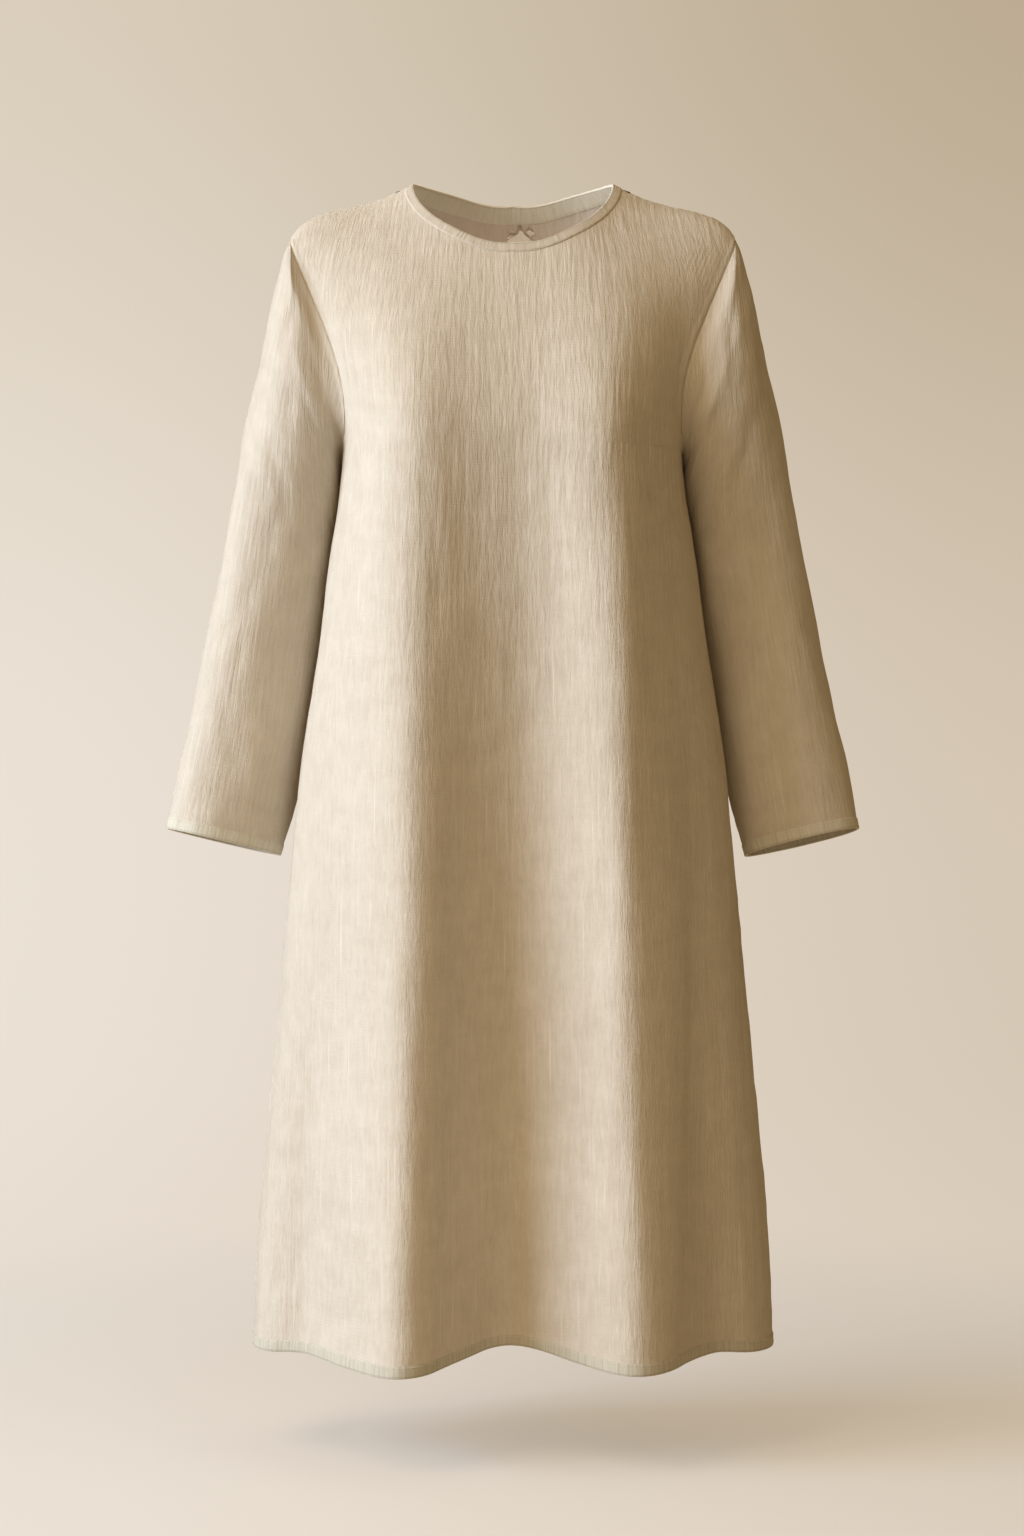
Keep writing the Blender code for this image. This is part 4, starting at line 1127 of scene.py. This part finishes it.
LABEL_WALL = 0.0004
LABEL_GRID = 15
LabelBit = namedtuple("LabelBit", "x drop half_width half_drop peak lift tip_lift seed")
LABEL_BITS = (
    LabelBit(0.0066, 0.0146, 0.0104, 0.0092, 0.62, 0.0007, 0.0034, 201),
    LabelBit(0.0158, 0.0078, 0.0042, 0.0026, 0.15, 0.0006, 0.0014, 202),
    LabelBit(-0.0012, 0.0136, 0.0030, 0.0018, 0.10, 0.0006, 0.0010, 203),
)
LABEL_FRAY = Waves(0.16, 0.55, 0.55)  # of its rim
LABEL_CRUMPLE = Waves(0.0004, 0.8, 1.1)
LOOSE_THREADS = 14
LOOSE_SEED = 204
LOOSE_PLACES = 9  # along each thread
LOOSE_X, LOOSE_DROP = (-0.004, 0.020), (0.004, 0.010)
LOOSE_BEND = 0.0035
LOOSE_REACH = (-0.0030, 0.0050)  # how far it goes up from its lower end
LOOSE_SWAY = 0.0012
LOOSE_LIFT, LOOSE_ARCH = 0.0006, 0.0016  # off the cloth, at its ends and in its middle


def inside_back(sideways, drop):
    """Points and inward normals on the back's inner face, sideways from its middle and a drop below the end
    of the neck binding."""
    shape = drop.shape
    across, up = neckline("back", np.full(drop.size, np.pi / 2))
    across, up = walk("back", across, up, np.array([1.0, 0.0, 0.0]), sideways.ravel())
    across, up = walk("back", across, up, np.array([0.0, 0.0, -1.0]), NECK_INNER_LEG + drop.ravel())
    point, normal, _, _, _ = cloth("back", across, up)
    return (point - CLOTH * normal).reshape(*shape, 3), -normal.reshape(*shape, 3)


def label_bit(bit):
    """A ragged scrap: a square grid rounded to an oval, narrowed upwards by its peak, its rim moved in and
    out by noise, and lifted off the cloth most at the top. Gives a closed shell's points, quads and UV."""
    grid = np.linspace(-1, 1, LABEL_GRID)
    s, t = np.meshgrid(grid, grid)
    rim = np.maximum(np.abs(s), np.abs(t)) ** 4
    ragged = 1 + rim * uneven(LABEL_FRAY, 10 + 4 * s, 10 + 4 * t, bit.seed)
    narrowing = 1 - bit.peak * (1 - ramp(t, -1.0, 0.5))
    sideways = bit.x + bit.half_width * s * np.sqrt(1 - t**2 / 2) * narrowing * ragged
    drop = bit.drop + bit.half_drop * t * np.sqrt(1 - s**2 / 2) * ragged
    point, inward = inside_back(sideways, drop)
    crumple = uneven(LABEL_CRUMPLE, 10 + 3 * s, 10 + 3 * t, bit.seed + 10)
    lift = bit.lift + crumple + bit.tip_lift * ramp(t, 0.1, -1.0)
    near = (point + (lift[..., None] + LABEL_WALL) * inward).reshape(-1, 3)
    far = near - LABEL_WALL * inward.reshape(-1, 3)
    quads = grid_quads(LABEL_GRID, LABEL_GRID)[0][:, [0, 3, 2, 1]]
    uv = np.stack([sideways, drop], -1).reshape(-1, 2)
    return closed_shell(near, far, quads, uv[quads])


def loose_threads():
    """Threads at scattered places beside the bits, each leaning and swaying in a slow sine and arched off the
    cloth by a squared one. Gives their points, quads and UV."""
    chance = np.random.default_rng(LOOSE_SEED)
    x = chance.uniform(*LOOSE_X, LOOSE_THREADS)[:, None]
    drop = chance.uniform(*LOOSE_DROP, LOOSE_THREADS)[:, None] + 0.10 * np.abs(x - 0.007)
    bend = chance.uniform(-LOOSE_BEND, LOOSE_BEND, (LOOSE_THREADS, 1))
    reach = chance.uniform(*LOOSE_REACH, (LOOSE_THREADS, 1))
    place = np.linspace(0, 1, LOOSE_PLACES)
    sway = LOOSE_SWAY * np.sin(place * 5 + x * 900)
    point, inward = inside_back(x + bend * place + sway, drop + 0.0035 - reach * place)
    paths = point + (LOOSE_LIFT + LOOSE_ARCH * np.sin(np.pi * place) ** 2)[:, None] * inward
    points, quads, uv = tubes(paths, inward[:, 0], 0.8 - 0.3 * place)
    return points, quads, uv[quads]


def joined(parts):
    """Several (points, quads, UV) as one mesh's."""
    points, quads, uv = zip(*parts)
    starts = np.cumsum([0, *map(len, points)])
    return np.concatenate(points), np.concatenate([q + s for q, s in zip(quads, starts)]), np.concatenate(uv)


# A pale tape, painted paler still: painted light where its peak catches the light.
label_tape = woven("label tape", (0.95, 0.93, 0.88), (0.93, 0.90, 0.84), (0.80, 0.75, 0.67), 0.0004)
label_parts = [label_bit(bit) for bit in LABEL_BITS] + [loose_threads()]
label_scrap = new_piece("label_scrap", *joined(label_parts), [label_tape], sharp=60)
declare(label_scrap, "label_stub", "label_tape", flat=(0.021, 0.021), held="hung", rests_on=["back_cloth"])


# Stage. A round white-to-beige sweep, its floor 95 mm under the floating hem, and a level camera 3.25 m away.
# Towards the camera the sweep glows in painted light, paler low and to the left and darker high and to the
# right, and near the middle a painted glow lies over the dress's shadow on the floor.
# A large soft light comes from the left, a weaker one from the upper front, and a faint one low in front. A
# small one shines up inside the yoke, as the inside of the neck is light in the photograph.

CAMERA_DISTANCE = 3.25
CAMERA_HEIGHT = -0.566
CAMERA_ASIDE = -0.001
LENS, SENSOR = 78.5, 36.0  # millimetres
camera_data = bpy.data.cameras.new("camera")
camera_data.sensor_fit = "VERTICAL"
camera_data.sensor_height = SENSOR
camera_data.lens = LENS
camera = bpy.data.objects.new("camera", camera_data)
camera.location = (CAMERA_ASIDE, -CAMERA_DISTANCE, CAMERA_HEIGHT)
camera.rotation_euler = (np.pi / 2, 0, 0)
bpy.context.scene.collection.objects.link(camera)
bpy.context.scene.camera = camera
bpy.context.scene.view_settings.view_transform = "Standard"
bpy.context.scene.view_settings.look = "None"

FLOOR = -1.222
SWEEP_FLAT = 3.4
SWEEP_BEND = 2.4
SWEEP_TOP = 5.0
BEND_STEPS = 24
SPOKES = 96


def sweep_profile():
    """Radius and height of the sweep: flat, then a quarter circle up, then the wall."""
    angle = np.linspace(0, np.pi / 2, BEND_STEPS)
    wall = SWEEP_FLAT + SWEEP_BEND
    radius = np.concatenate([[0.0], [0.5], SWEEP_FLAT + SWEEP_BEND * np.sin(angle), [wall]])
    height = np.concatenate([[0], [0], SWEEP_BEND * (1 - np.cos(angle)), [SWEEP_TOP]])
    return radius, FLOOR + height


radius, height = sweep_profile()
spin = np.linspace(0, TURN, SPOKES + 1)[:-1]
sweep_points = np.stack(
    [
        radius[:, None] * np.cos(spin),
        radius[:, None] * np.sin(spin),
        np.broadcast_to(height[:, None], (len(height), len(spin))),
    ],
    -1,
).reshape(-1, 3)
sweep_quads, _ = grid_quads(len(radius), len(spin), around=True)
sweep_material = bpy.data.materials.new("sweep")
sweep_material.use_nodes = True
sweep_tree = sweep_material.node_tree
sweep_tree.nodes.clear()
position = Socket(sweep_tree, sweep_tree.nodes.new("ShaderNodeTexCoord").outputs["Object"])
across_wall = position.node("SeparateXYZ", {}, {0: position}, out=0)
up_wall = position.node("SeparateXYZ", {}, {0: position}, out=2)
from_middle = position.node("VectorMath", {"operation": "LENGTH"}, {0: position}, out=1)
# The sweep's painted light: its glow towards the camera is paler low and to the left, darker high and to the
# right.
WALL_LEFT, WALL_RIGHT = -1.6, 1.6  # where its colours are reached
WALL_LOW, WALL_HIGH = -0.9, 1.7
to_right = across_wall.between(WALL_LEFT, WALL_RIGHT)
to_top = up_wall.between(WALL_LOW, WALL_HIGH)
LOW_LEFT, LOW_RIGHT = (0.84, 0.765, 0.68, 1.0), (0.66, 0.565, 0.45, 1.0)
HIGH_LEFT, HIGH_RIGHT = (0.70, 0.62, 0.50, 1.0), (0.50, 0.405, 0.285, 1.0)
painted_wall_light = to_top.blend(to_right.blend(LOW_LEFT, LOW_RIGHT), to_right.blend(HIGH_LEFT, HIGH_RIGHT))
FLOOR_PAINT, FLOOR_BOUNCE = (0.86, 0.90, 0.95, 1.0), (0.55, 0.44, 0.30, 1.0)
MIDDLE_GLOW = (0.79, 0.59, 0.37, 1.0)  # warms the shadow under the dress
GLOW_AT_MIDDLE = 0.42  # keeps the shadow under the dress pale
WARMTH_ENDS = (0.7, 1.6)  # distances from the middle of the dress
GLOW_COMES = (0.9, 2.1)
TINT_FILL = (0.278, 0.193, 0.092, 1.0)  # the light that the room gives the dress
seen = position.node("LightPath", out="Is Camera Ray")
paint = position.node("BsdfDiffuse", {}, {"Color": seen.blend(FLOOR_BOUNCE, FLOOR_PAINT)})
near_colour = from_middle.between(*WARMTH_ENDS).blend(MIDDLE_GLOW, painted_wall_light)
wall_glow = position.node("Emission", {}, {"Color": near_colour, "Strength": 1.0})
fill_glow = position.node("Emission", {}, {"Color": TINT_FILL, "Strength": 1.0})
glow = position.node("MixShader", {}, {0: seen, 1: fill_glow, 2: wall_glow})
far_off = GLOW_AT_MIDDLE + (1 - GLOW_AT_MIDDLE) * from_middle.between(*GLOW_COMES)
surface = position.node("MixShader", {}, {0: far_off, 1: paint, 2: glow})
output = sweep_tree.nodes.new("ShaderNodeOutputMaterial")
sweep_tree.links.new(surface.output, output.inputs["Surface"])
sweep = new_piece("sweep", sweep_points, sweep_quads, sweep_points[sweep_quads][..., :2], [sweep_material])

world = bpy.data.worlds.new("world")
bpy.context.scene.world = world
world.use_nodes = True
world.node_tree.nodes["Background"].inputs["Color"].default_value = TINT_FILL
world.node_tree.nodes["Background"].inputs["Strength"].default_value = 1.0

Light = namedtuple("Light", "name place aim size power colour")
LIGHTS = (
    Light("key", (-3.5, -1.27, 0.35), (0, 0, -0.55), 2.4, 215, (0.68, 0.785, 0.92)),
    Light("front", (-1.7, -2.0, 2.3), (0, 0, -0.55), 2.0, 58, (1.0, 0.79, 0.53)),
    Light("low", (0.0, -1.15, -1.05), (0, 0, -1.0), 0.5, 1.9, (1.0, 0.82, 0.62)),
    Light("neck", (0.05, 0, -0.30), (-0.03, 0.08, -0.03), 0.1, 0.28, (1.0, 0.90, 0.74)),
)
for light in LIGHTS:
    data = bpy.data.lights.new(light.name, "AREA")
    data.size = light.size
    data.energy = light.power
    data.color = light.colour
    lamp = bpy.data.objects.new(light.name, data)
    lamp.location = light.place
    away = np.array(light.aim) - np.array(light.place)  # the lamp shines along its own -z
    lamp.rotation_euler = (
        np.arctan2(np.hypot(away[0], away[1]), -away[2]),
        0.0,
        np.arctan2(away[1], away[0]) - np.pi / 2,
    )
    lamp.visible_camera = False
    bpy.context.scene.collection.objects.link(lamp)
